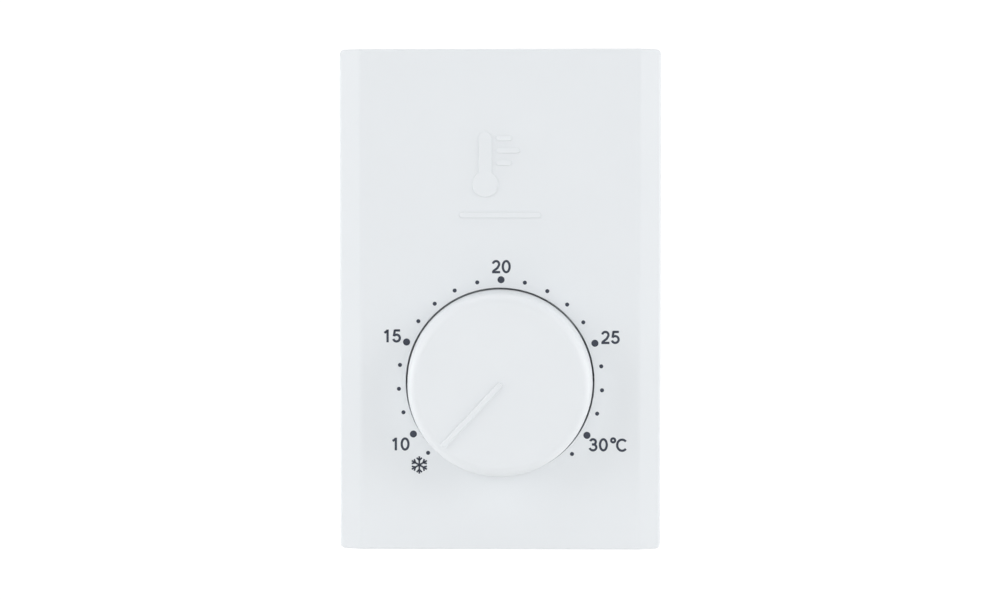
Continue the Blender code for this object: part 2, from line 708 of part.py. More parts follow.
def make_bracket():
    bracket = block("frame_bracket", (-BRACKET_X, BRACKET_X), BRACKET_DEPTH, BRACKET_Z, "zinc_steel")
    for side, name in ((-1, "left"), (1, "right")):
        leg = sorted((side * (BRACKET_X - SHEET), side * BRACKET_X))
        join(bracket, block(
            f"bracket_leg_{name}", leg, (BRACKET_FOOT_DEPTH[0], BRACKET_DEPTH[1]), BRACKET_LEG_Z
        ))
        foot = sorted((side * (BRACKET_X - SHEET), side * BRACKET_FOOT_X))
        join(bracket, block(f"bracket_foot_{name}", foot, BRACKET_FOOT_DEPTH, BRACKET_LEG_Z))
        x = side * BRACKET_SCREW_X
        cut(bracket, rod(
            f"bracket_foot_hole_{name}", CLEARANCE_RADIUS, (x, 0.0, DIAL_Z),
            (x, BRACKET_FOOT_DEPTH[1] + OVERRUN, DIAL_Z), sides=SMALL_ROUND,
        ))
        under_head = BRACKET_FOOT_DEPTH[1] + GAP
        screw(f"bracket_screw_{name}", point(x, under_head, DIAL_Z), FRONT,
              under_head - POST_HOLE_FLOOR - GAP, "zinc_steel")
    join(bracket, block(
        "stop_tab", (-STOP_TAB_X, STOP_TAB_X), (BRACKET_DEPTH[0], STOP_TAB_FRONT), STOP_TAB_Z
    ))
    for name, x, z, radius in (
        ("bushing_hole", 0.0, DIAL_Z, BUSHING_RADIUS + GAP),
        ("pivot_hole", PIVOT_X, PIVOT_Z, PIVOT_PIN_RADIUS + GAP),
    ):
        cut(bracket, rod(
            name, radius, (x, BRACKET_DEPTH[0] - OVERRUN, z), (x, BRACKET_DEPTH[1] + OVERRUN, z)
        ))


def make_bushing():
    axis = point(0.0, 0.0, DIAL_Z)
    profile = [
        (FLANGE_RADIUS, FLANGE_DEPTH[1]),
        (FLANGE_RADIUS, FLANGE_DEPTH[0]),
        (BUSHING_RADIUS, FLANGE_DEPTH[0]),
        (BUSHING_RADIUS, BUSHING_BACK),
        (BUSHING_BORE, BUSHING_BACK),
        (BUSHING_BORE, FLANGE_DEPTH[1]),
    ]
    turned("shaft_bushing", axis, FRONT, profile, True, "brass")
    nut = rod(
        "bushing_nut", hex_radius(BUSHING_NUT_FLATS), (0.0, BUSHING_NUT_DEPTH[0], DIAL_Z),
        (0.0, BUSHING_NUT_DEPTH[1], DIAL_Z), "brass", sides=6,
    )
    cut(nut, rod(
        "bushing_nut_thread", BUSHING_RADIUS + GAP, (0.0, BUSHING_NUT_DEPTH[0] - OVERRUN, DIAL_Z),
        (0.0, BUSHING_NUT_DEPTH[1] + OVERRUN, DIAL_Z),
    ))
    ring(
        "friction_washer", point(0.0, WASHER_DEPTH[0], DIAL_Z), FRONT, BUSHING_BORE, WASHER_RADIUS,
        WASHER_DEPTH[1] - WASHER_DEPTH[0], "spring_steel",
    )


def make_shaft(dial_pivot):
    profile = [
        (0.0, SHAFT_DEPTH[1]),
        (SHAFT_RADIUS, SHAFT_DEPTH[1]),
        (SHAFT_RADIUS, RING_GROOVE_DEPTH[1]),
        (RING_GROOVE_RADIUS, RING_GROOVE_DEPTH[1]),
        (RING_GROOVE_RADIUS, RING_GROOVE_DEPTH[0]),
        (SHAFT_RADIUS, RING_GROOVE_DEPTH[0]),
        (SHAFT_RADIUS, SHAFT_DEPTH[0]),
        (0.0, SHAFT_DEPTH[0]),
    ]
    shaft = turned("control_shaft", point(0.0, 0.0, DIAL_Z), FRONT, profile, False, "zinc_steel",
                   dial_pivot)
    cut(shaft, block(
        "shaft_flat", (SHAFT_FLAT_X, SHAFT_RADIUS + OVERRUN),
        (SHAFT_FLAT_START, SHAFT_DEPTH[1] + OVERRUN),
        (DIAL_Z - SHAFT_RADIUS - OVERRUN, DIAL_Z + SHAFT_RADIUS + OVERRUN),
    ))
    back = RING_GROOVE_DEPTH[0] + GAP
    front = RING_GROOVE_DEPTH[1] - GAP
    retainer = ring("shaft_retaining_ring", point(0.0, back, DIAL_Z), FRONT,
                    RING_GROOVE_RADIUS + GAP, RETAINER_RADIUS, front - back, "spring_steel",
                    dial_pivot)
    cut(retainer, block(
        "retaining_ring_mouth", (0.0, RETAINER_RADIUS + OVERRUN), (back - OVERRUN, front + OVERRUN),
        (DIAL_Z - SHAFT_RADIUS / 2, DIAL_Z + SHAFT_RADIUS / 2),
    ))


def cam_radius(angle):
    """Rim radius by its angle in degrees: it falls slowly, and comes back up past the used part."""
    if angle <= CAM_FALL_END:
        return CAM_HIGH + (CAM_LOW - CAM_HIGH) * angle / CAM_FALL_END
    rise = (angle - CAM_FALL_END) / (CAM_RISE_END - CAM_FALL_END)
    return CAM_LOW + (CAM_HIGH - CAM_LOW) * min(rise, 1.0)


def make_cam(dial_pivot):
    rim = []
    for number in range(round(360 / CAM_STEP)):
        degrees = number * CAM_STEP
        rim += arc((0.0, DIAL_Z), cam_radius(degrees), math.radians(degrees), 0.0, 1)[:1]
    pin = (
        STOP_PIN_ORBIT * math.sin(POINTER_ANGLE),
        DIAL_Z + STOP_PIN_ORBIT * math.cos(POINTER_ANGLE),
    )
    holes = [
        circle((0.0, DIAL_Z), SHAFT_RADIUS + GAP),
        circle(pin, STOP_PIN_RADIUS + GAP, SMALL_ROUND),
    ]
    sheet("setpoint_cam", [rim] + holes, CAM_DEPTH, "nylon", dial_pivot)
    rod("stop_pin", STOP_PIN_RADIUS, (pin[0], STOP_PIN_BACK, pin[1]), (pin[0], CAM_DEPTH[1], pin[1]),
        "zinc_steel", dial_pivot, SMALL_ROUND)


def make_knob(dial_pivot):
    back, front = KNOB_DEPTH
    edge = (KNOB_FACE_RADIUS - KNOB_ROUNDING, front - KNOB_ROUNDING)
    rounding = arc(edge, KNOB_ROUNDING, math.pi / 2, 0.0, END_STEPS // 2)
    inner = KNOB_FACE_RADIUS - KNOB_WALL
    bore = SHAFT_RADIUS + GAP
    profile = [(0.0, front)] + rounding + [
        (KNOB_RADIUS, COVER_FRONT),
        (KNOB_RADIUS, back),
        (inner, back),
        (inner, front - KNOB_WALL - KNOB_ROUNDING / 2),
        (inner - KNOB_ROUNDING / 2, front - KNOB_WALL),
        (HUB_RADIUS, front - KNOB_WALL),
        (HUB_RADIUS, back),
        (bore, back),
        (bore, HUB_BORE_END),
        (0.0, HUB_BORE_END),
    ]
    knob = turned("control_knob", point(0.0, 0.0, DIAL_Z), FRONT, profile, False, "white_abs",
                  dial_pivot, DIAL_ROUND)
    join(knob, block(
        "hub_flat", (SHAFT_FLAT_X + GAP, (bore + HUB_RADIUS) / 2),
        (SHAFT_FLAT_START + GAP, HUB_BORE_END + OVERRUN / 2),
        (DIAL_Z - SHAFT_RADIUS, DIAL_Z + SHAFT_RADIUS),
    ))
    half = POINTER_WIDTH / 2
    tip = POINTER_LENGTH - half
    across = math.pi / 2 - POINTER_ANGLE
    outline = arc((tip * math.sin(POINTER_ANGLE), DIAL_Z + tip * math.cos(POINTER_ANGLE)), half,
                  across - math.pi / 2, across + math.pi / 2, END_STEPS)
    outline += arc(
        (0.0, DIAL_Z), half, across + math.pi / 2, across + 1.5 * math.pi, END_STEPS
    )
    join(knob, sheet("pointer_ridge", [outline], (front - OVERRUN, front + POINTER_HEIGHT)))
    ring("hub_clamp_ring", point(0.0, CLAMP_RING_DEPTH[0], DIAL_Z), FRONT, HUB_RADIUS + GAP,
         CLAMP_RING_RADIUS, CLAMP_RING_DEPTH[1] - CLAMP_RING_DEPTH[0], "spring_steel", dial_pivot)


def make_lever(lever_pivot):
    eye = (PIVOT_X, PIVOT_Z)
    tip = (FOLLOWER_X, DIAL_Z)
    run = Vector((tip[0] - eye[0], tip[1] - eye[1]))
    heading = math.atan2(run.y, run.x)
    spread = math.acos((LEVER_EYE_RADIUS - FOLLOWER_RADIUS) / run.length)
    outline = arc(eye, LEVER_EYE_RADIUS, heading + spread, heading + math.tau - spread, 16)
    outline += arc(tip, FOLLOWER_RADIUS, heading - spread, heading + spread, 10)
    lever = sheet("range_lever", [outline], LEVER_DEPTH, "zinc_steel", lever_pivot)
    join(lever, block("lever_arm", LEVER_ARM_X, LEVER_DEPTH, (PIVOT_Z, LEVER_ARM_TOP)))
    tab = (LEVER_ARM_X[0], LEVER_ARM_X[0] + SHEET)
    join(lever, block("lever_tab", tab, (LEVER_TAB_BACK, LEVER_DEPTH[1]), LEVER_TAB_Z))
    cut(lever, rod(
        "lever_eye_hole", PIVOT_PIN_RADIUS + GAP, (PIVOT_X, LEVER_DEPTH[0] - OVERRUN, PIVOT_Z),
        (PIVOT_X, LEVER_DEPTH[1] + OVERRUN, PIVOT_Z),
    ))
    for name, z in RIVET_Z.items():
        cut(lever, rod(
            f"lever_rivet_hole_{name}", RIVET_SHANK_RADIUS + GAP,
            (tab[0] - OVERRUN, SWITCH_AXIS_DEPTH, z), (tab[1] + OVERRUN, SWITCH_AXIS_DEPTH, z),
            sides=SMALL_ROUND,
        ))


def make_lever_pivot():
    head_back = LEVER_DEPTH[1] + GAP
    tail_front = BRACKET_DEPTH[0] - GAP
    head_front = head_back + PIVOT_HEAD_THICKNESS
    tail_back = tail_front - PIVOT_HEAD_THICKNESS
    profile = [
        (0.0, head_front),
        (PIVOT_PIN_HEAD, head_front),
        (PIVOT_PIN_HEAD, head_back),
        (PIVOT_PIN_RADIUS, head_back),
        (PIVOT_PIN_RADIUS, tail_front),
        (PIVOT_PIN_TAIL, tail_front),
        (PIVOT_PIN_TAIL, tail_back),
        (0.0, tail_back),
    ]
    turned("lever_pivot_pin", point(PIVOT_X, 0.0, PIVOT_Z), FRONT, profile, False, "zinc_steel")
    ring("lever_spacer", point(PIVOT_X, SPACER_DEPTH[0], PIVOT_Z), FRONT, PIVOT_PIN_RADIUS + GAP,
         SPACER_RADIUS, SPACER_DEPTH[1] - SPACER_DEPTH[0], "nylon")

    back, front = RETURN_COIL_DEPTH
    steps = round(RETURN_COIL_TURNS * WIRE_POINTS_A_TURN)
    path = [(RETURN_LEG_START_X, back, PIVOT_Z + RETURN_COIL_RADIUS)]
    for step in range(steps + 1):
        angle = math.pi / 2 - math.tau * RETURN_COIL_TURNS * step / steps
        path.append((
            PIVOT_X + RETURN_COIL_RADIUS * math.cos(angle),
            back + (front - back) * step / steps,
            PIVOT_Z + RETURN_COIL_RADIUS * math.sin(angle),
        ))
    path.append((RETURN_LEG_END[0], front, RETURN_LEG_END[1]))
    wire("lever_return_spring", path, RETURN_WIRE_RADIUS, "spring_steel")


def make_bimetal(bimetal_pivot, lever_pivot):
    strip = block("bimetal_strip", STRIP_X, STRIP_DEPTH, STRIP_Z, "bimetal", bimetal_pivot)
    holes = [(f"strip_rivet_hole_{name}", RIVET_SHANK_RADIUS, z) for name, z in RIVET_Z.items()]
    holes.append(("strip_screw_hole", CALIBRATION_SCREW_RADIUS, PLUNGER_Z))
    for name, radius, z in holes:
        cut(strip, rod(
            name, radius + GAP, (STRIP_X[0] - OVERRUN, SWITCH_AXIS_DEPTH, z),
            (STRIP_X[1] + OVERRUN, SWITCH_AXIS_DEPTH, z), sides=SMALL_ROUND,
        ))
    left = STRIP_X[0] - GAP
    right = LEVER_ARM_X[0] + SHEET + GAP
    for name, z in RIVET_Z.items():
        profile = [
            (0.0, right + RIVET_HEAD),
            (RIVET_HEAD_RADIUS, right + RIVET_HEAD / 2),
            (RIVET_HEAD_RADIUS, right),
            (RIVET_SHANK_RADIUS, right),
            (RIVET_SHANK_RADIUS, left),
            (RIVET_HEAD_RADIUS, left),
            (RIVET_HEAD_RADIUS, left - RIVET_HEAD / 2),
            (0.0, left - RIVET_HEAD),
        ]
        turned(f"bimetal_rivet_{name}", point(0.0, SWITCH_AXIS_DEPTH, z), RIGHT, profile, False,
               "brass", lever_pivot, SMALL_ROUND)

    start, end = CALIBRATION_SCREW_X
    profile = [
        (0.0, end),
        (CALIBRATION_SCREW_RADIUS, end),
        (CALIBRATION_SCREW_RADIUS, start + CALIBRATION_SCREW_RADIUS / 2),
        (CALIBRATION_SCREW_RADIUS / 2, start),
        (0.0, start),
    ]
    adjuster = turned("calibration_screw", point(0.0, SWITCH_AXIS_DEPTH, PLUNGER_Z), RIGHT, profile,
                      False, "brass", bimetal_pivot, SMALL_ROUND)
    cut(adjuster, block(
        "calibration_slot", (end - DRIVE_SLOT_DEPTH, end + OVERRUN),
        (SWITCH_AXIS_DEPTH - 2 * CALIBRATION_SCREW_RADIUS,
         SWITCH_AXIS_DEPTH + 2 * CALIBRATION_SCREW_RADIUS),
        (PLUNGER_Z - DRIVE_SLOT_WIDTH / 2, PLUNGER_Z + DRIVE_SLOT_WIDTH / 2),
    ))
    nut_start = STRIP_X[1] + GAP
    nut_end = nut_start + CALIBRATION_NUT_THICKNESS
    nut = rod(
        "calibration_nut", hex_radius(CALIBRATION_NUT_FLATS),
        (nut_start, SWITCH_AXIS_DEPTH, PLUNGER_Z), (nut_end, SWITCH_AXIS_DEPTH, PLUNGER_Z),
        "brass", bimetal_pivot, sides=6,
    )
    cut(nut, rod(
        "calibration_nut_thread", CALIBRATION_SCREW_RADIUS + GAP,
        (nut_start - OVERRUN, SWITCH_AXIS_DEPTH, PLUNGER_Z),
        (nut_end + OVERRUN, SWITCH_AXIS_DEPTH, PLUNGER_Z), sides=SMALL_ROUND,
    ))


def make_switch_housing():
    tray = block("switch_housing", TRAY_X, TRAY_DEPTH, TRAY_Z, "phenolic")
    cut(tray, block(
        "tray_pocket", (TRAY_X[0] + TRAY_WALL, TRAY_X[1] - TRAY_WALL),
        (TRAY_FLOOR, TRAY_DEPTH[1] + OVERRUN), (TRAY_Z[0] + TRAY_WALL, TRAY_Z[1] - TRAY_WALL),
    ))
    join(tray, block(
        "partition", PARTITION_X, (TRAY_FLOOR - OVERRUN, PARTITION_FRONT),
        (TRAY_Z[0] + TRAY_WALL / 2, PARTITION_TOP),
    ))
    for name, x in TERMINAL_SCREW_X.items():
        half = WIRE_NOTCH_WIDTH / 2
        cut(tray, block(
            f"wire_notch_{name}", (x - half, x + half), (WIRE_NOTCH_BACK, TRAY_DEPTH[1] + OVERRUN),
            (TRAY_Z[0] - OVERRUN, TRAY_Z[0] + TRAY_WALL + OVERRUN / 2),
        ))
        cut(tray, rod(
            f"terminal_pocket_{name}", TERMINAL_SCREW_RADIUS + GAP,
            (x, TERMINAL_POCKET_FLOOR, TERMINAL_SCREW_Z), (x, TRAY_FLOOR + OVERRUN, TERMINAL_SCREW_Z),
            sides=SMALL_ROUND,
        ))
    cut(tray, rod(
        "plunger_hole", PLUNGER_RADIUS + GAP,
        (TRAY_X[1] - TRAY_WALL - OVERRUN, SWITCH_AXIS_DEPTH, PLUNGER_Z),
        (TRAY_X[1] + OVERRUN, SWITCH_AXIS_DEPTH, PLUNGER_Z), sides=SMALL_ROUND,
    ))
    for name, (x, z) in SWITCH_POSTS.items():
        wall_x = TRAY_X[0] + TRAY_WALL / 2 if x < TRAY_X[0] else TRAY_X[1] - TRAY_WALL / 2
        ear_x = sorted((wall_x, x))
        top = min(z + EAR_RADIUS, TRAY_Z[1] + EAR_RADIUS)
        join(tray, block(f"ear_{name}", ear_x, EAR_DEPTH, (z - EAR_RADIUS, top)))
        join(tray, rod(f"ear_end_{name}", EAR_RADIUS, (x, EAR_DEPTH[0], z), (x, EAR_DEPTH[1], z)))
        cut(tray, rod(
            f"ear_hole_{name}", CLEARANCE_RADIUS, (x, EAR_DEPTH[0] - OVERRUN, z),
            (x, EAR_DEPTH[1] + OVERRUN, z), sides=SMALL_ROUND,
        ))
        under_head = EAR_DEPTH[1] + GAP
        screw(f"switch_screw_{name}", point(x, under_head, z), FRONT,
              under_head - SWITCH_POST_HOLE_FLOOR - GAP, "zinc_steel")


def make_plunger(plunger_pivot):
    start, end = PLUNGER_X
    profile = [
        (0.0, end),
        (PLUNGER_END_RADIUS, end),
        (PLUNGER_RADIUS, end - PLUNGER_CHAMFER),
        (PLUNGER_RADIUS, start + PLUNGER_CHAMFER),
        (PLUNGER_END_RADIUS, start),
        (0.0, start),
    ]
    turned("switch_plunger", point(0.0, SWITCH_AXIS_DEPTH, PLUNGER_Z), RIGHT, profile, False,
           "nylon", plunger_pivot, SMALL_ROUND)


def contact_rivet(name, face, strap, finish, pivot=None):
    """A contact riveted through a strap. It faces the way from strap to face, along x."""
    way = RIGHT if face > strap[0] else -RIGHT
    through = abs(strap[1] - strap[0]) + 2 * GAP
    profile = [
        (0.0, CONTACT_THICKNESS),
        (CONTACT_CROWN_RADIUS, CONTACT_THICKNESS),
        (CONTACT_RADIUS, CONTACT_SIDE),
        (CONTACT_RADIUS, 0.0),
        (CONTACT_SHANK_RADIUS, 0.0),
        (CONTACT_SHANK_RADIUS, -through),
        (CONTACT_TAIL_RADIUS, -through),
        (CONTACT_TAIL_RADIUS, -through - CONTACT_TAIL),
        (0.0, -through - CONTACT_TAIL),
    ]
    turned(name, point(face, SWITCH_AXIS_DEPTH, CONTACT_Z), way, profile, False, finish, pivot,
           SMALL_ROUND)


def contact_hole(piece, name, strap):
    cut(piece, rod(
        name, CONTACT_SHANK_RADIUS + GAP, (strap[0] - OVERRUN, SWITCH_AXIS_DEPTH, CONTACT_Z),
        (strap[1] + OVERRUN, SWITCH_AXIS_DEPTH, CONTACT_Z), sides=SMALL_ROUND,
    ))


def make_contact_arm(arm_pivot):
    arm = block("contact_arm", ARM_X, ARM_DEPTH, ARM_Z, "brass", arm_pivot)
    contact_hole(arm, "arm_contact_hole", ARM_X)
    contact_rivet("moving_contact", ARM_X[1] + GAP, ARM_X, "silver", arm_pivot)
    start = ARM_X[1] + GAP
    block("magnet_armature", (start, start + ARMATURE_THICKNESS), ARM_DEPTH, MAGNET_Z,
          "zinc_steel", arm_pivot)


def make_switch_fittings():
    contact_rivet("fixed_contact", LOAD_TAB_X[0] - GAP, (LOAD_TAB_X[1], LOAD_TAB_X[0]), "silver")
    block("snap_magnet", MAGNET_X, (TRAY_FLOOR + GAP, TAB_FRONT), MAGNET_Z, "magnet")
    start = PARTITION_X[1] + GAP + SPRING_WIRE_RADIUS
    end = ARM_X[0] - GAP - SPRING_WIRE_RADIUS
    steps = SPRING_TURNS * WIRE_POINTS_A_TURN
    path = []
    for step in range(steps + 1):
        angle = math.tau * SPRING_TURNS * step / steps
        path.append((
            start + (end - start) * step / steps,
            SWITCH_AXIS_DEPTH + SPRING_RADIUS * math.cos(angle),
            SPRING_Z + SPRING_RADIUS * math.sin(angle),
        ))
    wire("contact_spring", path, SPRING_WIRE_RADIUS, "spring_steel")


def make_terminals():
    low, high = TERMINAL_PAD_X["load"]
    left, right = LOAD_STRAP_X
    cross_end = LOAD_TAB_X[1] - BEND_SET
    load_outline = [
        (low, PAD_Z[0]), (high, PAD_Z[0]), (high, PAD_Z[1]), (right, PAD_Z[1]),
        (right, LOAD_CROSS_Z[0]), (cross_end, LOAD_CROSS_Z[0]), (cross_end, LOAD_CROSS_Z[1]),
        (left, LOAD_CROSS_Z[1]), (left, PAD_Z[1]), (low, PAD_Z[1]),
    ]
    load = sheet("load_terminal", [load_outline], STRAP_DEPTH, "brass")
    tab_depth = (STRAP_DEPTH[0] + STRAP / 2, TAB_FRONT)
    tab_z = (LOAD_CROSS_Z[0] + BEND_SET, LOAD_CROSS_Z[1] - BEND_SET)
    join(load, block("load_tab", LOAD_TAB_X, tab_depth, tab_z))
    contact_hole(load, "load_contact_hole", LOAD_TAB_X)

    line = block("line_terminal", TERMINAL_PAD_X["line"], STRAP_DEPTH, PAD_Z, "brass")
    left, right = LINE_TAB_X
    fork_outline = [
        (left, LINE_TAB_Z[0]), (right, LINE_TAB_Z[0]), (right, LINE_SHELF_Z[0]),
        (LINE_LIP_X[1], LINE_SHELF_Z[0]), (LINE_LIP_X[1], LINE_LIP_TOP),
        (LINE_LIP_X[0], LINE_LIP_TOP), (LINE_LIP_X[0], LINE_SHELF_Z[1]),
        (right, LINE_SHELF_Z[1]), (right, LINE_TAB_Z[1]), (left, LINE_TAB_Z[1]),
    ]
    join(line, sheet("line_fork", [fork_outline], tab_depth))

    for name, terminal in (("load", load), ("line", line)):
        x = TERMINAL_SCREW_X[name]
        cut(terminal, rod(
            f"{name}_screw_hole", TERMINAL_SCREW_RADIUS + GAP,
            (x, STRAP_DEPTH[0] - OVERRUN, TERMINAL_SCREW_Z),
            (x, STRAP_DEPTH[1] + OVERRUN, TERMINAL_SCREW_Z), sides=SMALL_ROUND,
        ))
        clamp = block(
            f"terminal_clamp_{name}", (x - CLAMP_HALF_WIDTH, x + CLAMP_HALF_WIDTH), CLAMP_DEPTH,
            (TERMINAL_SCREW_Z - CLAMP_HALF_HEIGHT, TERMINAL_SCREW_Z + CLAMP_HALF_HEIGHT),
            "zinc_steel",
        )
        cut(clamp, rod(
            f"{name}_clamp_hole", TERMINAL_SCREW_RADIUS + GAP,
            (x, CLAMP_DEPTH[0] - OVERRUN, TERMINAL_SCREW_Z),
            (x, CLAMP_DEPTH[1] + OVERRUN, TERMINAL_SCREW_Z), sides=SMALL_ROUND,
        ))
        under_head, top = TERMINAL_HEAD_DEPTH
        screw(f"terminal_screw_{name}", point(x, under_head, TERMINAL_SCREW_Z), FRONT,
              under_head - TERMINAL_SCREW_BACK, "zinc_steel", radius=TERMINAL_SCREW_RADIUS,
              head_radius=TERMINAL_HEAD_RADIUS, head=top - under_head)


def make_anticipator():
    """A small resistor between the two terminals, which warms the bimetal's surroundings."""
    bottom, top = RESISTOR_Z
    profile = [
        (0.0, top),
        (RESISTOR_END_RADIUS, top),
        (RESISTOR_RADIUS, top - RESISTOR_NECK),
        (RESISTOR_RADIUS, bottom + RESISTOR_NECK),
        (RESISTOR_END_RADIUS, bottom),
        (0.0, bottom),
    ]
    turned("anticipator_resistor", point(RESISTOR_X, SWITCH_AXIS_DEPTH, 0.0), UP, profile, False,
           "resistor_enamel", sides=SMALL_ROUND)
    over_partition = PARTITION_FRONT + GAP + LEAD_RADIUS
    tab_side = LINE_TAB_X[0] - GAP - LEAD_RADIUS
    line_path = [
        (RESISTOR_X, SWITCH_AXIS_DEPTH, bottom - GAP),
        (RESISTOR_X, SWITCH_AXIS_DEPTH + LEAD_BEND, bottom - LEAD_BEND),
        (RESISTOR_X + LEAD_BEND, over_partition, bottom - LEAD_BEND),
        (tab_side - LEAD_BEND, over_partition, bottom - LEAD_BEND),
        (tab_side, over_partition - LEAD_BEND, bottom - LEAD_BEND),
        (tab_side, STRAP_DEPTH[1] + LEAD_BEND, bottom - LEAD_BEND),
    ]
    wire("resistor_lead_line", line_path, LEAD_RADIUS, "tinned_copper")
    on_strap = STRAP_DEPTH[1] + GAP + LEAD_RADIUS
    load_path = [
        (RESISTOR_X, SWITCH_AXIS_DEPTH, top + GAP),
        (RESISTOR_X, SWITCH_AXIS_DEPTH - LEAD_BEND, top + LEAD_BEND),
        (RESISTOR_X - LEAD_BEND, on_strap, top + LEAD_BEND),
        (LOAD_STRAP_X[0] + LEAD_BEND, on_strap, top + LEAD_BEND),
    ]
    wire("resistor_lead_load", load_path, LEAD_RADIUS, "tinned_copper")


clear_scene()
parts = new_collection("wall_thermostat")
cutters = new_collection("cutters")
cutters.hide_render = True

cover_slide = pivot_at("cover_slide_axis", 0.0, 0.0)
dial_axis = pivot_at("dial_axis", 0.0, DIAL_Z)
lever_axis = pivot_at("lever_axis", PIVOT_X, PIVOT_Z)
bimetal_axis = pivot_at("bimetal_axis", (STRIP_X[0] + STRIP_X[1]) / 2, STRIP_FLEX_Z, lever_axis)
plunger_axis = pivot_at("plunger_axis", 0.0, PLUNGER_Z)
arm_axis = pivot_at("contact_arm_axis", (ARM_X[0] + ARM_X[1]) / 2, ARM_Z[0])

make_cover(cover_slide)
make_cover_fixing(cover_slide)
make_base()
make_bracket()
make_bushing()
make_shaft(dial_axis)
make_cam(dial_axis)
make_knob(dial_axis)
make_lever(lever_axis)
make_lever_pivot()
make_bimetal(bimetal_axis, lever_axis)
make_switch_housing()
make_plunger(plunger_axis)
make_contact_arm(arm_axis)
make_switch_fittings()
make_terminals()
make_anticipator()
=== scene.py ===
"""The looks of a line-voltage wall thermostat with a round dial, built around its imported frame.

Metres, +Z up. The wall is the plane y = 0 and the case stands out from it towards -Y. The
sections follow the thermostat as it is put together, from the base plate to the knob.
"""

import json
import math

import bmesh
import bpy
from mathutils import Matrix, Vector


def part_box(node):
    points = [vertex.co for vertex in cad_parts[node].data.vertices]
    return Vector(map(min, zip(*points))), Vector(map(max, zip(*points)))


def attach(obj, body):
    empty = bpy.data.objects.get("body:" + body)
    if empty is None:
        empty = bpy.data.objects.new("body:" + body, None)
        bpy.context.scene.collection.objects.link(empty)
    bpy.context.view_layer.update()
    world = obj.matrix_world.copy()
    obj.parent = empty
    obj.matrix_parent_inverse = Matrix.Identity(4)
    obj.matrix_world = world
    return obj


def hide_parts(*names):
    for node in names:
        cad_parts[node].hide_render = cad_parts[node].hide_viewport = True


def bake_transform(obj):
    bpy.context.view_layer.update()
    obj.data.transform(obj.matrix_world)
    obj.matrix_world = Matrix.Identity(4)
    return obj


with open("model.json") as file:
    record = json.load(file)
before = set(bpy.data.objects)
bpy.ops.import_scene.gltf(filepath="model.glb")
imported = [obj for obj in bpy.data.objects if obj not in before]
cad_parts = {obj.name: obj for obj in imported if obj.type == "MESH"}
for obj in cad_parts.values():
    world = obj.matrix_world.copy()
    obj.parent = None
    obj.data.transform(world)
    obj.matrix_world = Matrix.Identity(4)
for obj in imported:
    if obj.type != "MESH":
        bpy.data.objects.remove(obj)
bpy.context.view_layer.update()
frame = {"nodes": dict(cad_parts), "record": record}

# Camera: nearly square to the front of the case, at arm's length, a touch from the right and
# from above.
MM = 0.001
CAMERA_DISTANCE = 400 * MM
CAMERA_AZIMUTH = math.radians(0.87)
CAMERA_ELEVATION = math.radians(1.5)
CAMERA_LENS = 63.2  # mm
SENSOR_WIDTH = 36.0  # mm


def put_in_scene(name, data):
    """An object of this data, in the scene."""
    obj = bpy.data.objects.new(name, data)
    bpy.context.scene.collection.objects.link(obj)
    return obj


case_low, case_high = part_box("front_cover")
aim = (case_low + case_high) / 2
aim.y = case_low.y
towards_camera = Vector((
    math.sin(CAMERA_AZIMUTH) * math.cos(CAMERA_ELEVATION),
    -math.cos(CAMERA_AZIMUTH) * math.cos(CAMERA_ELEVATION),
    math.sin(CAMERA_ELEVATION),
))
camera_data = bpy.data.cameras.new("camera")
camera_data.lens = CAMERA_LENS
camera_data.sensor_width = SENSOR_WIDTH
camera_data.clip_start = 10 * MM
camera = put_in_scene("camera", camera_data)
camera.location = aim + CAMERA_DISTANCE * towards_camera
camera.rotation_euler = (-towards_camera).to_track_quat("-Z", "Y").to_euler()
bpy.context.scene.camera = camera


# Studio: a tent of even grey light that is white behind the case, a large softbox in front, five
# smaller ones at the sides, high on both sides and overhead, and a pale matt floor well below.
FLOOR_DROP = 350 * MM
FLOOR_SIZE = 1.6
TENT_STRENGTH = 1.1
TENT = ((0.0, "#ABACAE"), (0.72, "#ABACAE"), (0.92, "#FCFCFC"))  # from in front, 0, to behind, 1
SOFTBOXES = (  # each with its place and its side in metres, and its power in watts
    ("softbox_front", (0.0, -1.6, -0.1), 1.2, 5.0),
    ("softbox_high_left", (-1.05, -0.8, 0.4), 0.7, 3.6),
    ("softbox_high_right", (1.05, -0.8, 0.4), 0.7, 3.6),
    ("softbox_left", (-1.2, -0.06, 0.0), 0.7, 4.6),
    ("softbox_right", (1.2, -0.06, 0.0), 0.7, 4.6),
    ("softbox_overhead", (0.0, -0.12, 1.2), 0.8, 4.0),
)


def linear(code):
    """An sRGB hex colour as linear red, green, blue and alpha."""
    channels = [int(code[i:i + 2], 16) / 255 for i in (1, 3, 5)]
    return (*[c / 12.92 if c <= 0.04045 else ((c + 0.055) / 1.055) ** 2.4 for c in channels], 1.0)


def add_node(tree, kind, sockets=None, **settings):
    """Adds a node. Each named socket takes a value, or is linked to the output given for it."""
    node = tree.nodes.new(kind)
    for name, value in settings.items():
        setattr(node, name, value)
    for name, value in (sockets or {}).items():
        if isinstance(value, bpy.types.NodeSocket):
            tree.links.new(value, node.inputs[name])
        else:
            node.inputs[name].default_value = value
    return node


def new_material(name, **sockets):
    """A material with its shader's own values, and its tree and place for patterns."""
    material = bpy.data.materials.new(name)
    material.use_nodes = True
    tree = material.node_tree
    shader = tree.nodes["Principled BSDF"]
    for socket, value in sockets.items():
        shader.inputs[socket.replace("_", " ")].default_value = value
    place = add_node(tree, "ShaderNodeTexCoord").outputs["Object"]
    return material, tree, place


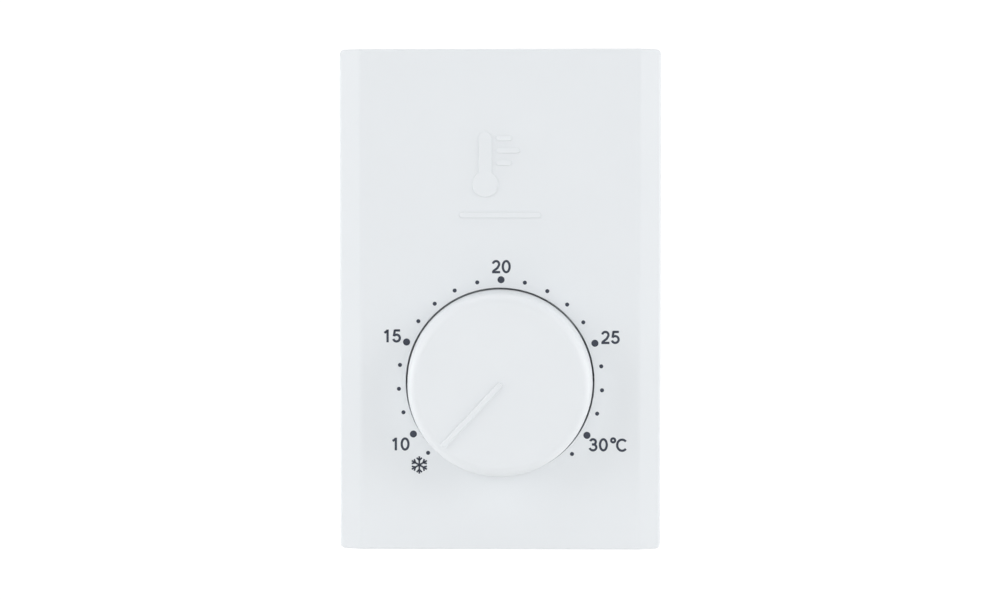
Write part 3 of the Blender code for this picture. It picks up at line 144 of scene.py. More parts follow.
def finished(material, tint, marks=None, sheen=(0.5, 0.5), relief=0.0, depth=0.02 * MM):
    """Colour from a pattern, a light and a dark, and roughness and relief from the marks."""
    tree = material.node_tree
    shader = tree.nodes["Principled BSDF"]
    if tint:
        pattern, light, dark = tint
        mixed = add_node(tree, "ShaderNodeMixRGB", {
            "Fac": pattern, "Color1": linear(light), "Color2": linear(dark),
        })
        tree.links.new(mixed.outputs["Color"], shader.inputs["Base Color"])
    if marks:
        matt = add_node(tree, "ShaderNodeMapRange", {
            "Value": marks, "To Min": sheen[0], "To Max": sheen[1],
        })
        tree.links.new(matt.outputs["Result"], shader.inputs["Roughness"])
    if relief:
        bump = add_node(tree, "ShaderNodeBump", {
            "Height": marks, "Strength": relief, "Distance": depth,
        })
        tree.links.new(bump.outputs["Normal"], shader.inputs["Normal"])
    return material


def painted_floor():
    """Matt pale floor paint, faintly uneven."""
    material, tree, place = new_material("matt_pale_floor_paint", Roughness=0.9)
    patches = add_node(tree, "ShaderNodeTexNoise", {"Vector": place, "Scale": 3.0, "Detail": 3.0})
    return finished(material, (patches.outputs["Fac"], "#EEEEED", "#F2F2F1"))


world = bpy.data.worlds.new("tent")
world.use_nodes = True
sky = world.node_tree
way = add_node(sky, "ShaderNodeTexCoord").outputs["Generated"]
split = add_node(sky, "ShaderNodeSeparateXYZ", {"Vector": way})
round_tent = add_node(sky, "ShaderNodeMapRange", {"Value": split.outputs["Y"], "From Min": -1.0})
tent = add_node(sky, "ShaderNodeValToRGB", {"Fac": round_tent.outputs["Result"]})
tent.color_ramp.interpolation = "EASE"
for number, (position, code) in enumerate(TENT):
    stops = tent.color_ramp.elements
    stop = stops[number] if number < 2 else stops.new(position)
    stop.position = position
    stop.color = linear(code)
sky.links.new(tent.outputs["Color"], sky.nodes["Background"].inputs["Color"])
sky.nodes["Background"].inputs["Strength"].default_value = TENT_STRENGTH
bpy.context.scene.world = world
bpy.context.scene.view_settings.view_transform = "Standard"

for name, place, size, energy in SOFTBOXES:
    light = bpy.data.lights.new(name, "AREA")
    light.size = size
    light.energy = energy
    softbox = put_in_scene(name, light)
    softbox.location = place
    softbox.rotation_euler = (aim - softbox.location).to_track_quat("-Z", "Y").to_euler()

floor_shape = bmesh.new()
bmesh.ops.create_grid(
    floor_shape, x_segments=1, y_segments=1, size=FLOOR_SIZE / 2,
    matrix=Matrix.Translation((0.0, 0.0, case_low.z - FLOOR_DROP)),
)
floor_mesh = bpy.data.meshes.new("floor")
floor_shape.to_mesh(floor_mesh)
floor_shape.free()
floor_mesh.materials.append(painted_floor())
put_in_scene("floor", floor_mesh)


# Base plate: a pale grey ABS moulding that is screwed to the wall. Its pocket, posts, tongues
# and cover lug are moulded in one, with every edge broken by the mould.
BASE_EDGE = 0.25 * MM
SMOOTH_BELOW = math.radians(35)
BREAK_ABOVE = math.radians(32)
FLAT_BELOW = math.radians(0.5)
MERGE = 0.001 * MM

record = frame["record"]
body_of = {node: body for body, nodes in record["behaviour"]["bodies"].items() for node in nodes}


def moulded_abs(name, light, dark, roughness):
    """ABS from a spark-eroded mould: satin, with a grain of about a quarter of a millimetre.

    The real grain is finer, and it is drawn this coarse so that it shows at all.
    """
    material, tree, place = new_material(name, IOR=1.52)
    cloud = add_node(tree, "ShaderNodeTexNoise", {"Vector": place, "Scale": 1 / (18 * MM)})
    grain = add_node(tree, "ShaderNodeTexNoise", {
        "Vector": place, "Scale": 1 / (0.25 * MM), "Detail": 3.0, "Roughness": 0.6,
    })
    return finished(
        material, (cloud.outputs["Fac"], light, dark),
        grain.outputs["Fac"], (roughness - 0.05, roughness + 0.05), 0.12,
    )


def new_object(name, shape, material=None):
    """A finished shape as an object at the origin, smooth except at its real edges."""
    mesh = bpy.data.meshes.new(name)
    shape.to_mesh(mesh)
    shape.free()
    mesh.shade_smooth()
    mesh.set_sharp_from_angle(angle=SMOOTH_BELOW)
    if material:
        mesh.materials.append(material)
    return put_in_scene(name, mesh)


def settle(obj):
    """Makes the modifiers' result the piece's own mesh."""
    graph = bpy.context.evaluated_depsgraph_get()
    mesh = bpy.data.meshes.new_from_object(obj.evaluated_get(graph))
    obj.modifiers.clear()
    obj.data = mesh


def even_normals(obj):
    """Keeps flat faces flat next to rounded edges."""
    weighting = obj.modifiers.new("Even normals", "WEIGHTED_NORMAL")
    weighting.keep_sharp = True


def stand_for(obj, *nodes):
    """The piece takes the place of these CAD nodes, and moves with them."""
    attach(obj, body_of[nodes[0]])
    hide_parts(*nodes)


def edges_broken(name, node, width, material, segments=2):
    """A CAD node's own shape, its flat faces made whole and its sharp edges broken."""
    shape = bmesh.new()
    shape.from_mesh(frame["nodes"][node].data)
    bmesh.ops.remove_doubles(shape, verts=shape.verts, dist=MERGE)
    bmesh.ops.dissolve_limit(
        shape, angle_limit=FLAT_BELOW, verts=shape.verts, edges=shape.edges
    )
    obj = new_object(name, shape, material)
    rounding = obj.modifiers.new("Broken edges", "BEVEL")
    rounding.width = width
    rounding.segments = segments
    rounding.limit_method = "ANGLE"
    rounding.angle_limit = BREAK_ABOVE
    rounding.use_clamp_overlap = True
    rounding.miter_outer = "MITER_ARC"
    even_normals(obj)
    settle(obj)
    stand_for(obj, node)


grey_abs = moulded_abs("grey_moulded_abs", "#CBCED1", "#C6C9CC", 0.5)
edges_broken("base_plate_moulding", "base_plate", BASE_EDGE, grey_abs)


# Frame bracket: folded from 1.2 mm zinc-plated sheet and held by two thread-forming screws with
# slotted pan heads. It carries the dial and the lever.
SHEET_EDGE = 0.12 * MM
SCREW_THREAD_RADIUS = 1.35 * MM
SCREW_HEAD = 1.8 * MM
SCREW_PITCH = 0.9 * MM
SCREW_CORE = 0.84  # of the thread's radius
SCREW_CROWN = 0.78  # the flat of a head, of its radius
SCREW_SIDE = 0.5  # where a head's side starts to round over, of its height
SCREW_POINT = 0.4  # the flat of a point, of the core's radius
SCREW_EDGE = 0.25 * MM
THREAD_START = 0.8  # how far past the tip it starts, of the thread's radius
RIDGE_ROOT = 0.95  # where a thread's ridge stands, of the core's radius
RIDGE_FOOT = 0.42  # half of a ridge at its foot, of the pitch
RIDGE_CREST = 0.06  # half of a ridge at its crest, of the pitch
DRIVE_SLOT_WIDTH = 0.7 * MM
DRIVE_SLOT_DEPTH = 0.8 * MM
FRONT = Vector((0.0, -1.0, 0.0))
RIGHT = Vector((1.0, 0.0, 0.0))
UP = Vector((0.0, 0.0, 1.0))


def worked_metal(name, light, dark, roughness, lay, relief=0.1):
    """A bare or plated metal. Lay is the size in mm of its marks along x, y and z."""
    material, tree, place = new_material(name, Metallic=1.0)
    along = add_node(tree, "ShaderNodeMapping", {
        "Vector": place, "Scale": tuple(1 / (size * MM) for size in lay),
    })
    marks = add_node(tree, "ShaderNodeTexNoise", {
        "Vector": along.outputs["Vector"], "Scale": 1.0, "Detail": 4.0, "Roughness": 0.65,
    })
    patches = add_node(tree, "ShaderNodeTexNoise", {"Vector": place, "Scale": 1 / (4 * MM)})
    return finished(
        material, (patches.outputs["Fac"], light, dark),
        marks.outputs["Fac"], (roughness - 0.08, roughness + 0.10), relief,
    )


def rounded(profile, radius, closed=False, steps=3):
    """The same outline with its corners eased, each by the radius or by what its sides allow."""
    count = len(profile)
    points = []
    for i, corner in enumerate(profile):
        corner = Vector(corner)
        if not closed and i in (0, count - 1):
            points.append(corner)
            continue
        before = Vector(profile[i - 1]) - corner
        after = Vector(profile[(i + 1) % count]) - corner
        reach = min(radius, 0.45 * before.length, 0.45 * after.length)
        start = corner + before.normalized() * reach
        end = corner + after.normalized() * reach
        for step in range(steps + 1):
            t = step / steps
            points.append((1 - t) ** 2 * start + 2 * t * (1 - t) * corner + t * t * end)
    return points


def placed(shape, origin, along):
    """Moves a shape made about the z axis to its own axis."""
    turn = along.to_track_quat("Z", "Y").to_matrix().to_4x4()
    bmesh.ops.transform(shape, matrix=Matrix.Translation(origin) @ turn, verts=shape.verts)
    return shape


def spun(profile, origin, along, closed=False, steps=64):
    """A turned shape from its (radius, distance along the axis) outline."""
    shape = bmesh.new()
    verts = [shape.verts.new((radius, 0.0, distance)) for radius, distance in profile]
    pairs = list(zip(verts, verts[1:])) + ([(verts[-1], verts[0])] if closed else [])
    edges = [shape.edges.new(pair) for pair in pairs]
    bmesh.ops.spin(
        shape, geom=verts + edges, cent=(0, 0, 0), axis=(0, 0, 1), angle=math.tau, steps=steps,
        use_merge=True,
    )
    bmesh.ops.remove_doubles(shape, verts=shape.verts, dist=MERGE)
    bmesh.ops.recalc_face_normals(shape, faces=shape.faces)
    return placed(shape, origin, along)


def helix(section, turns, pitch, steps_a_turn=24):
    """A closed section in the x-z plane, wound up the z axis, with its two ends closed."""
    shape = bmesh.new()
    verts = [shape.verts.new((radius, 0.0, distance)) for radius, distance in section]
    edges = [shape.edges.new(pair) for pair in zip(verts, verts[1:] + verts[:1])]
    steps = round(turns * steps_a_turn)
    first = shape.faces.new(verts)
    wound = bmesh.ops.spin(
        shape, geom=verts + edges, cent=(0, 0, 0), axis=(0, 0, 1), angle=math.tau * turns,
        dvec=(0, 0, pitch * turns / steps), steps=steps,
    )
    last = [edge for edge in wound["geom_last"] if isinstance(edge, bmesh.types.BMEdge)]
    bmesh.ops.contextual_create(shape, geom=last)
    first.normal_update()
    bmesh.ops.recalc_face_normals(shape, faces=shape.faces)
    return shape


def joined(shape, other):
    """Adds another shape's mesh to the first."""
    mesh = bpy.data.meshes.new("joined")
    other.to_mesh(mesh)
    other.free()
    shape.from_mesh(mesh)
    bpy.data.meshes.remove(mesh)


def tool(shape):
    """A shape as a cutter, which is removed once it has cut."""
    return new_object("tool", shape)


def worked(obj, tools, operation="DIFFERENCE"):
    """Cuts the tools out of a piece, or joins them on."""
    for number, cutter in enumerate(tools):
        modifier = obj.modifiers.new(f"{operation}_{number}", "BOOLEAN")
        modifier.operation = operation
        modifier.object = cutter
        modifier.solver = "EXACT"
    settle(obj)
    for cutter in tools:
        bpy.data.objects.remove(cutter)
    obj.data.shade_smooth()
    obj.data.set_sharp_from_angle(angle=SMOOTH_BELOW)


def ease_edges(shape, edges, width, segments):
    """Rounds these edges of a shape."""
    bmesh.ops.bevel(
        shape, geom=edges, offset=width, segments=segments, profile=0.5, affect="EDGES",
        material=-1,
    )


def box_shape(low, high, rounding=0.0):
    """A block between two corners, its edges eased."""
    shape = bmesh.new()
    low, high = Vector(low), Vector(high)
    bmesh.ops.create_cube(shape, size=1.0)
    bmesh.ops.scale(shape, vec=high - low, verts=shape.verts)
    bmesh.ops.translate(shape, vec=(low + high) / 2, verts=shape.verts)
    if rounding:
        ease_edges(shape, shape.edges[:], rounding, 2)
    return shape


def axis_of(node, along):
    """A node's length on its axis, its radius, and where its far-back end lies."""
    low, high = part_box(node)
    size = high - low
    middle = (low + high) / 2
    length = sum(abs(along[i]) * size[i] for i in range(3))
    radius = max(size[i] for i in range(3) if abs(along[i]) < 0.5) / 2
    return length, radius, middle - along * length / 2


def sawn(screw, radius, length, end, along):
    """Saws the driver's slot across a screw's head."""
    slot = box_shape(
        (-2 * radius, -DRIVE_SLOT_WIDTH / 2, length - DRIVE_SLOT_DEPTH),
        (2 * radius, DRIVE_SLOT_WIDTH / 2, length + MM),
    )
    worked(screw, [tool(placed(slot, end, along))])


def threaded(screw, ridge, turns, pitch, start, end, along):
    """Winds a thread's ridge round a screw, from a distance past its end."""
    thread = helix(ridge, turns, pitch)
    bmesh.ops.translate(thread, vec=(0, 0, start), verts=thread.verts)
    shape = bmesh.new()
    shape.from_mesh(screw.data)
    joined(shape, placed(thread, end, along))
    shape.to_mesh(screw.data)
    shape.free()
    screw.data.set_sharp_from_angle(angle=SMOOTH_BELOW)


def slotted_screw(name, node, along, material, thread=SCREW_THREAD_RADIUS, head=SCREW_HEAD,
                  pitch=SCREW_PITCH):
    """A pan-head screw, its shank rolled to a thread and its head sawn with a slot."""
    length, head_radius, tip = axis_of(node, along)
    core = thread * SCREW_CORE
    shoulder = length - head
    profile = rounded([
        (0.0, length), (head_radius * SCREW_CROWN, length),
        (head_radius, length - head * SCREW_SIDE), (head_radius, shoulder), (core, shoulder),
        (core, thread), (core * SCREW_POINT, 0.0), (0.0, 0.0),
    ], SCREW_EDGE)
    screw = new_object(name, spun(profile, tip, along, steps=48), material)
    sawn(screw, head_radius, length, tip, along)
    ridge = [
        (core * RIDGE_ROOT, -pitch * RIDGE_FOOT), (thread, -pitch * RIDGE_CREST),
        (thread, pitch * RIDGE_CREST), (core * RIDGE_ROOT, pitch * RIDGE_FOOT),
    ]
    start = thread * THREAD_START
    turns = (shoulder - start - pitch) / pitch
    threaded(screw, ridge, turns, pitch, start + pitch / 2, tip, along)
    stand_for(screw, node)


def turned(name, node, profile, edge, origin, along, material, steps=48, edge_steps=3):
    """A turned piece, in place of a CAD node."""
    shape = spun(rounded(profile, edge, steps=edge_steps), origin, along, steps=steps)
    stand_for(new_object(name, shape, material), node)


zinc_plate = worked_metal("zinc_plated_steel", "#D3D7DB", "#BFC4CA", 0.32, (0.5, 0.5, 0.5))
edges_broken("frame_bracket_pressing", "frame_bracket", SHEET_EDGE, zinc_plate)
for side in ("left", "right"):
    slotted_screw(f"bracket_screw_{side}_turned", f"bracket_screw_{side}", FRONT, zinc_plate)


# Shaft bushing: turned brass, pushed through the bracket from the front and held by a hexagon
# nut behind. A sprung wave washer on its flange makes the dial stay where it is set.
BUSHING_RADIUS = 4.4 * MM
BUSHING_BORE = 3.3 * MM
BUSHING_THREAD_DEPTH = 0.25 * MM
BUSHING_PITCH = 0.75 * MM
FLANGE_THICKNESS = 0.8 * MM
NUT_CHAMFER = 0.55 * MM
NUT_SINK = 0.3 * MM
THREAD_CLEARANCE = 0.05 * MM
WASHER_THICKNESS = 0.3 * MM
WASHER_EDGE = 0.08 * MM
WASHER_WAVES = 3
TURNED_EDGE = 0.2 * MM


def mirrored(half, length):
    """An outline that is the same at both ends, from the half at the near end."""
    return [(radius, length - distance) for radius, distance in half] + half[::-1]


def hexagon_nut(name, node, along, bore, material):
    """A hexagon nut with both ends chamfered and its bore countersunk."""
    length, corner_radius, back = axis_of(node, along)
    shape = bmesh.new()
    bmesh.ops.create_cone(
        shape, cap_ends=True, segments=6, radius1=corner_radius, radius2=corner_radius,
        depth=length, matrix=Matrix.Translation((0, 0, length / 2)),
    )
    nut = new_object(name, placed(shape, back, along), material)
    flats = corner_radius * math.sqrt(3) / 2
    cone_foot = (corner_radius + MM, NUT_CHAMFER + NUT_SINK)
    chamfer = mirrored([(0.0, 0.0), (flats, 0.0), cone_foot], length)
    worked(nut, [tool(spun(chamfer, back, along, steps=96))], "INTERSECT")
    mouth = (bore + 2 * NUT_SINK, -NUT_SINK)
    hole = mirrored([(0.0, -NUT_SINK), mouth, (bore, NUT_SINK)], length)
    worked(nut, [tool(spun(hole, back, along))])
    even_normals(nut)
    stand_for(nut, node)


def collar(outer, bore, length, edge, origin, along, steps=64):
    """A plain ring with its edges broken."""
    outline = [(outer, length), (outer, 0.0), (bore, 0.0), (bore, length)]
    return spun(rounded(outline, edge, closed=True), origin, along, closed=True, steps=steps)


brass = worked_metal("rolled_brass", "#E3BE72", "#D2A95B", 0.27, (0.3, 0.3, 2.0), 0.05)
spring_steel = worked_metal("blued_spring_steel", "#A9ADB4", "#8E939B", 0.25, (0.15, 0.15, 1.5))

length, flange_radius, bushing_back = axis_of("shaft_bushing", FRONT)
flange_start = length - FLANGE_THICKNESS
root = BUSHING_RADIUS - BUSHING_THREAD_DEPTH
bushing = spun(rounded([
    (flange_radius, length), (flange_radius, flange_start), (root, flange_start), (root, 0.0),
    (BUSHING_BORE, 0.0), (BUSHING_BORE, length),
], TURNED_EDGE, closed=True), bushing_back, FRONT, closed=True, steps=96)
ridge_foot = (BUSHING_RADIUS - 1.2 * BUSHING_THREAD_DEPTH, 0.4 * BUSHING_PITCH)
bushing_thread = helix(
    [(ridge_foot[0], -ridge_foot[1]), (BUSHING_RADIUS, 0.0), ridge_foot],
    (flange_start - 2 * BUSHING_PITCH) / BUSHING_PITCH, BUSHING_PITCH, 36,
)
bmesh.ops.translate(bushing_thread, vec=(0, 0, BUSHING_PITCH), verts=bushing_thread.verts)
joined(bushing, placed(bushing_thread, bushing_back, FRONT))
stand_for(new_object("shaft_bushing_turned", bushing, brass), "shaft_bushing")
hexagon_nut(
    "bushing_nut_hexagon", "bushing_nut", FRONT, BUSHING_RADIUS + THREAD_CLEARANCE, brass
)

length, washer_radius, washer_back = axis_of("friction_washer", FRONT)
washer = collar(
    washer_radius, BUSHING_BORE, WASHER_THICKNESS, WASHER_EDGE, Vector((0, 0, 0)), UP, 96
)
wave_height = (length - WASHER_THICKNESS) / 2
for vert in washer.verts:
    turn = math.atan2(vert.co.y, vert.co.x)
    vert.co.z += wave_height * (1 + math.cos(WASHER_WAVES * turn))
washer = placed(washer, washer_back, FRONT)
stand_for(new_object("friction_wave_washer", washer, spring_steel), "friction_washer")


# Control shaft: 6 mm zinc-plated steel bar with a flat milled for the knob and a groove at the
# back, where a snap ring keeps it in the bushing.
SHAFT_RADIUS = 3.0 * MM
SHAFT_FLAT = 1.9 * MM
SHAFT_FLAT_START = 22.2 * MM
GROOVE_RADIUS = 2.4 * MM
GROOVE_DEPTH = (6.7 * MM, 8.3 * MM)
SHAFT_EDGE = 0.3 * MM
FIT_GAP = 0.3 * MM
SNAP_RING_EDGE = 0.1 * MM

knob_joint = next(joint for joint in record["behaviour"]["joints"] if joint["name"] == "knob_turn")
dial_x, _, dial_z = knob_joint["pos_m"]
dial_axis = Vector((dial_x, 0.0, dial_z))
shaft_low, shaft_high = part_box("control_shaft")
back, front = -shaft_high.y, -shaft_low.y
shaft = new_object("control_shaft_bar", spun(rounded([
    (0.0, front), (SHAFT_RADIUS, front), (SHAFT_RADIUS, GROOVE_DEPTH[1]),
    (GROOVE_RADIUS, GROOVE_DEPTH[1]), (GROOVE_RADIUS, GROOVE_DEPTH[0]),
    (SHAFT_RADIUS, GROOVE_DEPTH[0]), (SHAFT_RADIUS, back), (0.0, back),
], SHAFT_EDGE), dial_axis, FRONT, steps=96), zinc_plate)
worked(shaft, [tool(box_shape(
    (dial_x + SHAFT_FLAT, -front - MM, dial_z - 2 * SHAFT_RADIUS),
    (dial_x + 2 * SHAFT_RADIUS, -SHAFT_FLAT_START, dial_z + 2 * SHAFT_RADIUS),
))])
even_normals(shaft)
stand_for(shaft, "control_shaft")

length, ring_radius, ring_back = axis_of("shaft_retaining_ring", FRONT)
ring_back = Vector((dial_x, ring_back.y, dial_z))
snap_ring = new_object("shaft_snap_ring", collar(
    ring_radius, GROOVE_RADIUS + FIT_GAP, length, SNAP_RING_EDGE, ring_back, FRONT
), spring_steel)
worked(snap_ring, [tool(box_shape(
    (dial_x, ring_back.y - 2 * length, dial_z - SHAFT_RADIUS / 2),
    (dial_x + 2 * ring_radius, ring_back.y + length, dial_z + SHAFT_RADIUS / 2),
))])
stand_for(snap_ring, "shaft_retaining_ring")


# Setpoint cam: a snail cam in natural nylon, pressed on the shaft. A steel pin through it meets
# the bracket's tab at both ends of the dial's travel.
CAM_HIGH = 10.0 * MM
CAM_LOW = 8.0 * MM
CAM_FALL_END = 274  # degrees of the rim over which the radius falls
CAM_RISE_END = 345  # degrees at which it is back at its high radius
CAM_EDGE = 0.25 * MM
CAM_BORE_GAP = 0.1 * MM
PIN_GAP = 0.05 * MM


def moulded_nylon():
    """Natural nylon: milky, a little see-through at its edges, and slightly glossy."""
    material, tree, place = new_material(
        "natural_moulded_nylon", IOR=1.53, Subsurface_Weight=0.15, Subsurface_Scale=1.0 * MM
    )
    cloud = add_node(tree, "ShaderNodeTexNoise", {"Vector": place, "Scale": 1 / (3 * MM)})
    skin = add_node(tree, "ShaderNodeTexNoise", {"Vector": place, "Scale": 1 / (0.6 * MM)})
    return finished(
        material, (cloud.outputs["Fac"], "#EEEADC", "#E4DFCD"),
        skin.outputs["Fac"], (0.38, 0.52), 0.1,
    )


def plate(outline, back, front, rounding=0.0, segments=3):
    """A flat-backed shape from its (x, z) outline, its front edge rounded."""
    shape = bmesh.new()
    rim = [shape.verts.new((x, -back, z)) for x, z in outline]
    pushed = bmesh.ops.extrude_face_region(shape, geom=[shape.faces.new(rim)])
    verts = [v for v in pushed["geom"] if isinstance(v, bmesh.types.BMVert)]
    bmesh.ops.translate(shape, vec=(0, back - front, 0), verts=verts)
    bmesh.ops.recalc_face_normals(shape, faces=shape.faces)
    if rounding:
        edges = [e for e in shape.edges if e.verts[0] in verts and e.verts[1] in verts]
        ease_edges(shape, edges, rounding, segments)
    return shape


def bow(x, z, radius_x, radius_z, start, end, steps=24):
    """Points on part of an ellipse, from one angle in degrees to another."""
    turns = [math.radians(start + (end - start) * i / steps) for i in range(steps + 1)]
    return [(x + radius_x * math.cos(t), z + radius_z * math.sin(t)) for t in turns]


def rod(radius, start, end, rounding=0.0, steps=48):
    """A round bar between two places."""
    start, end = Vector(start), Vector(end)
    length = (end - start).length
    profile = mirrored([(0.0, 0.0), (radius, 0.0)], length)
    return spun(rounded(profile, rounding), start, (end - start).normalized(), steps=steps)


def cam_radius(degrees):
    """The rim falls slowly over the dial's travel, and then comes back up."""
    if degrees <= CAM_FALL_END:
        return CAM_HIGH + (CAM_LOW - CAM_HIGH) * degrees / CAM_FALL_END
    rise = (degrees - CAM_FALL_END) / (CAM_RISE_END - CAM_FALL_END)
    return CAM_LOW + (CAM_HIGH - CAM_LOW) * min(rise, 1.0)


natural_nylon = moulded_nylon()
cam_low, cam_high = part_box("setpoint_cam")
pin_low, pin_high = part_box("stop_pin")
pin_middle = (pin_low + pin_high) / 2
pin_radius = (pin_high.x - pin_low.x) / 2
rim = [
    (dial_x + cam_radius(angle) * math.cos(math.radians(angle)),
     dial_z + cam_radius(angle) * math.sin(math.radians(angle)))
    for angle in range(0, 360, 2)
]
cam = new_object(
    "setpoint_cam_moulding", plate(rim, -cam_high.y, -cam_low.y, CAM_EDGE), natural_nylon
)
worked(cam, [
    tool(rod(SHAFT_RADIUS + CAM_BORE_GAP, dial_axis, dial_axis + 40 * MM * FRONT)),
    tool(rod(pin_radius + PIN_GAP, pin_middle - 10 * MM * FRONT, pin_middle + 10 * MM * FRONT)),
])
even_normals(cam)
stand_for(cam, "setpoint_cam")
pin_end = Vector((pin_middle.x, pin_high.y, pin_middle.z))
pin = rod(pin_radius, pin_end, pin_end + (pin_high.y - pin_low.y) * FRONT, TURNED_EDGE)
stand_for(new_object("stop_pin_ground", pin, zinc_plate), "stop_pin")


# Range lever: stamped from the same sheet as the bracket, on a riveted pin with a nylon spacer.
# A torsion spring of 0.6 mm wire keeps its tip on the cam.
PIVOT_PIN_RADIUS = 1.5 * MM
PIVOT_HEAD = 0.7 * MM
PIVOT_TAIL_DROP = 0.3 * MM
PIVOT_EDGE = 0.25 * MM
RUNNING_GAP = 0.2 * MM
SPRING_COIL_RADIUS = 3.2 * MM
SPRING_WIRE_RADIUS = 0.3 * MM
SPRING_COIL_TURNS = 1.75
SPRING_LEG_START_X = 7.5 * MM
SPRING_LEG_END = (13.35 * MM, 9.5 * MM)


def drawn_shape(curve):
    """The mesh that a curve draws, as a shape."""
    drawn = put_in_scene("line", curve)
    graph = bpy.context.evaluated_depsgraph_get()
    mesh = bpy.data.meshes.new_from_object(drawn.evaluated_get(graph))
    bpy.data.objects.remove(drawn)
    shape = bmesh.new()
    shape.from_mesh(mesh)
    return shape


def wire(name, path, radius, material, node):
    """A round wire along a smooth line through its places."""
    curve = bpy.data.curves.new(name, "CURVE")
    curve.dimensions = "3D"
    curve.bevel_depth = radius
    curve.bevel_resolution = 4
    curve.use_fill_caps = True
    spline = curve.splines.new("POLY")
    spline.points.add(len(path) - 1)
    for target, place in zip(spline.points, path):
        target.co = (*place, 1.0)
    spline.use_smooth = True
    shape = drawn_shape(curve)
    bmesh.ops.remove_doubles(shape, verts=shape.verts, dist=MERGE)
    bmesh.ops.recalc_face_normals(shape, faces=shape.faces)
    stand_for(new_object(name, shape, material), node)


edges_broken("range_lever_stamping", "range_lever", SHEET_EDGE, zinc_plate)

length, head_radius, pin_back = axis_of("lever_pivot_pin", FRONT)
tail_radius = head_radius - PIVOT_TAIL_DROP
turned("lever_pivot_rivet", "lever_pivot_pin", [
    (0.0, length), (head_radius, length), (head_radius, length - PIVOT_HEAD),
    (PIVOT_PIN_RADIUS, length - PIVOT_HEAD), (PIVOT_PIN_RADIUS, PIVOT_HEAD),
    (tail_radius, PIVOT_HEAD), (tail_radius, 0.0), (0.0, 0.0),
], PIVOT_EDGE, pin_back, FRONT, zinc_plate, 64)
pivot = Vector((pin_back.x, 0.0, pin_back.z))

length, spacer_radius, spacer_back = axis_of("lever_spacer", FRONT)
spacer = collar(
    spacer_radius, PIVOT_PIN_RADIUS + RUNNING_GAP, length, TURNED_EDGE, spacer_back, FRONT
)
stand_for(new_object("lever_spacer_bush", spacer, natural_nylon), "lever_spacer")

spring_low, spring_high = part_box("lever_return_spring")
coil_back = -spring_high.y + SPRING_WIRE_RADIUS
coil_front = -spring_low.y - SPRING_WIRE_RADIUS
steps = round(SPRING_COIL_TURNS * 48)
coil = [(SPRING_LEG_START_X, -coil_back, pivot.z + SPRING_COIL_RADIUS)]
for step in range(steps + 1):
    angle = math.pi / 2 - math.tau * SPRING_COIL_TURNS * step / steps
    coil.append((
        pivot.x + SPRING_COIL_RADIUS * math.cos(angle),
        -coil_back - (coil_front - coil_back) * step / steps,
        pivot.z + SPRING_COIL_RADIUS * math.sin(angle),
    ))
coil.append((SPRING_LEG_END[0], -coil_front, SPRING_LEG_END[1]))
wire("lever_torsion_spring", coil, SPRING_WIRE_RADIUS, spring_steel, "lever_return_spring")


# Bimetal strip: two metals rolled into one, the coppery one towards the lever, riveted to the
# lever's tab. A brass screw through its free end sets the calibration, locked by a nut.
STRIP_EDGE = 0.08 * MM
RIVET_SHANK = 0.9 * MM
RIVET_HEAD = 0.8 * MM
CALIBRATION_RADIUS = 1.25 * MM
CALIBRATION_EDGE = 0.15 * MM
CALIBRATION_PITCH = 0.5 * MM
CALIBRATION_PLAIN = 2.4 * MM  # of its length without a thread, at both ends together
CALIBRATION_THREAD_START = 1.3 * MM


def rolled_bimetal(middle_x):
    """Rolled bimetal: nickel steel on one side and a coppery manganese alloy on the other."""
    material, tree, place = new_material("rolled_bimetal", Metallic=1.0)
    side = add_node(tree, "ShaderNodeSeparateXYZ", {"Vector": place})
    layer = add_node(tree, "ShaderNodeMath", {
        0: side.outputs["X"], 1: middle_x,
    }, operation="GREATER_THAN")
    along = add_node(tree, "ShaderNodeMapping", {
        "Vector": place, "Scale": (1 / (0.1 * MM), 1 / (0.1 * MM), 1 / (4 * MM)),
    })
    rolled = add_node(tree, "ShaderNodeTexNoise", {
        "Vector": along.outputs["Vector"], "Scale": 1.0, "Detail": 3.0,
    })
    return finished(
        material, (layer.outputs["Value"], "#C9C3B4", "#C79A72"),
        rolled.outputs["Fac"], (0.24, 0.42), 0.15,
    )


strip_low, strip_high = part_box("bimetal_strip")
bimetal = rolled_bimetal((strip_low.x + strip_high.x) / 2)
edges_broken("bimetal_strip_rolled", "bimetal_strip", STRIP_EDGE, bimetal)
for end in ("lower", "upper"):
    length, head_radius, rivet_left = axis_of(f"bimetal_rivet_{end}", RIGHT)
    turned(f"bimetal_rivet_{end}_closed", f"bimetal_rivet_{end}", mirrored([
        (0.0, 0.0), (head_radius * 0.6, RIVET_HEAD * 0.15), (head_radius, RIVET_HEAD * 0.6),
        (head_radius, RIVET_HEAD), (RIVET_SHANK, RIVET_HEAD),
    ], length), TURNED_EDGE, rivet_left, RIGHT, brass)

length, radius, screw_left = axis_of("calibration_screw", RIGHT)
calibration_core = CALIBRATION_RADIUS * SCREW_CORE
calibration = new_object("calibration_screw_turned", spun(rounded([
    (0.0, length), (calibration_core, length), (calibration_core, calibration_core),
    (calibration_core * 0.5, 0.0), (0.0, 0.0),
], CALIBRATION_EDGE), screw_left, RIGHT, steps=48), brass)
sawn(calibration, radius, length, screw_left, RIGHT)
ridge_foot = (calibration_core * RIDGE_ROOT, 0.45 * CALIBRATION_PITCH)
threaded(
    calibration, [(ridge_foot[0], -ridge_foot[1]), (CALIBRATION_RADIUS, 0.0), ridge_foot],
    (length - CALIBRATION_PLAIN) / CALIBRATION_PITCH, CALIBRATION_PITCH, CALIBRATION_THREAD_START,
    screw_left, RIGHT,
)
stand_for(calibration, "calibration_screw")
hexagon_nut(
    "calibration_nut_hexagon", "calibration_nut", RIGHT, CALIBRATION_RADIUS + THREAD_CLEARANCE,
    brass,
)


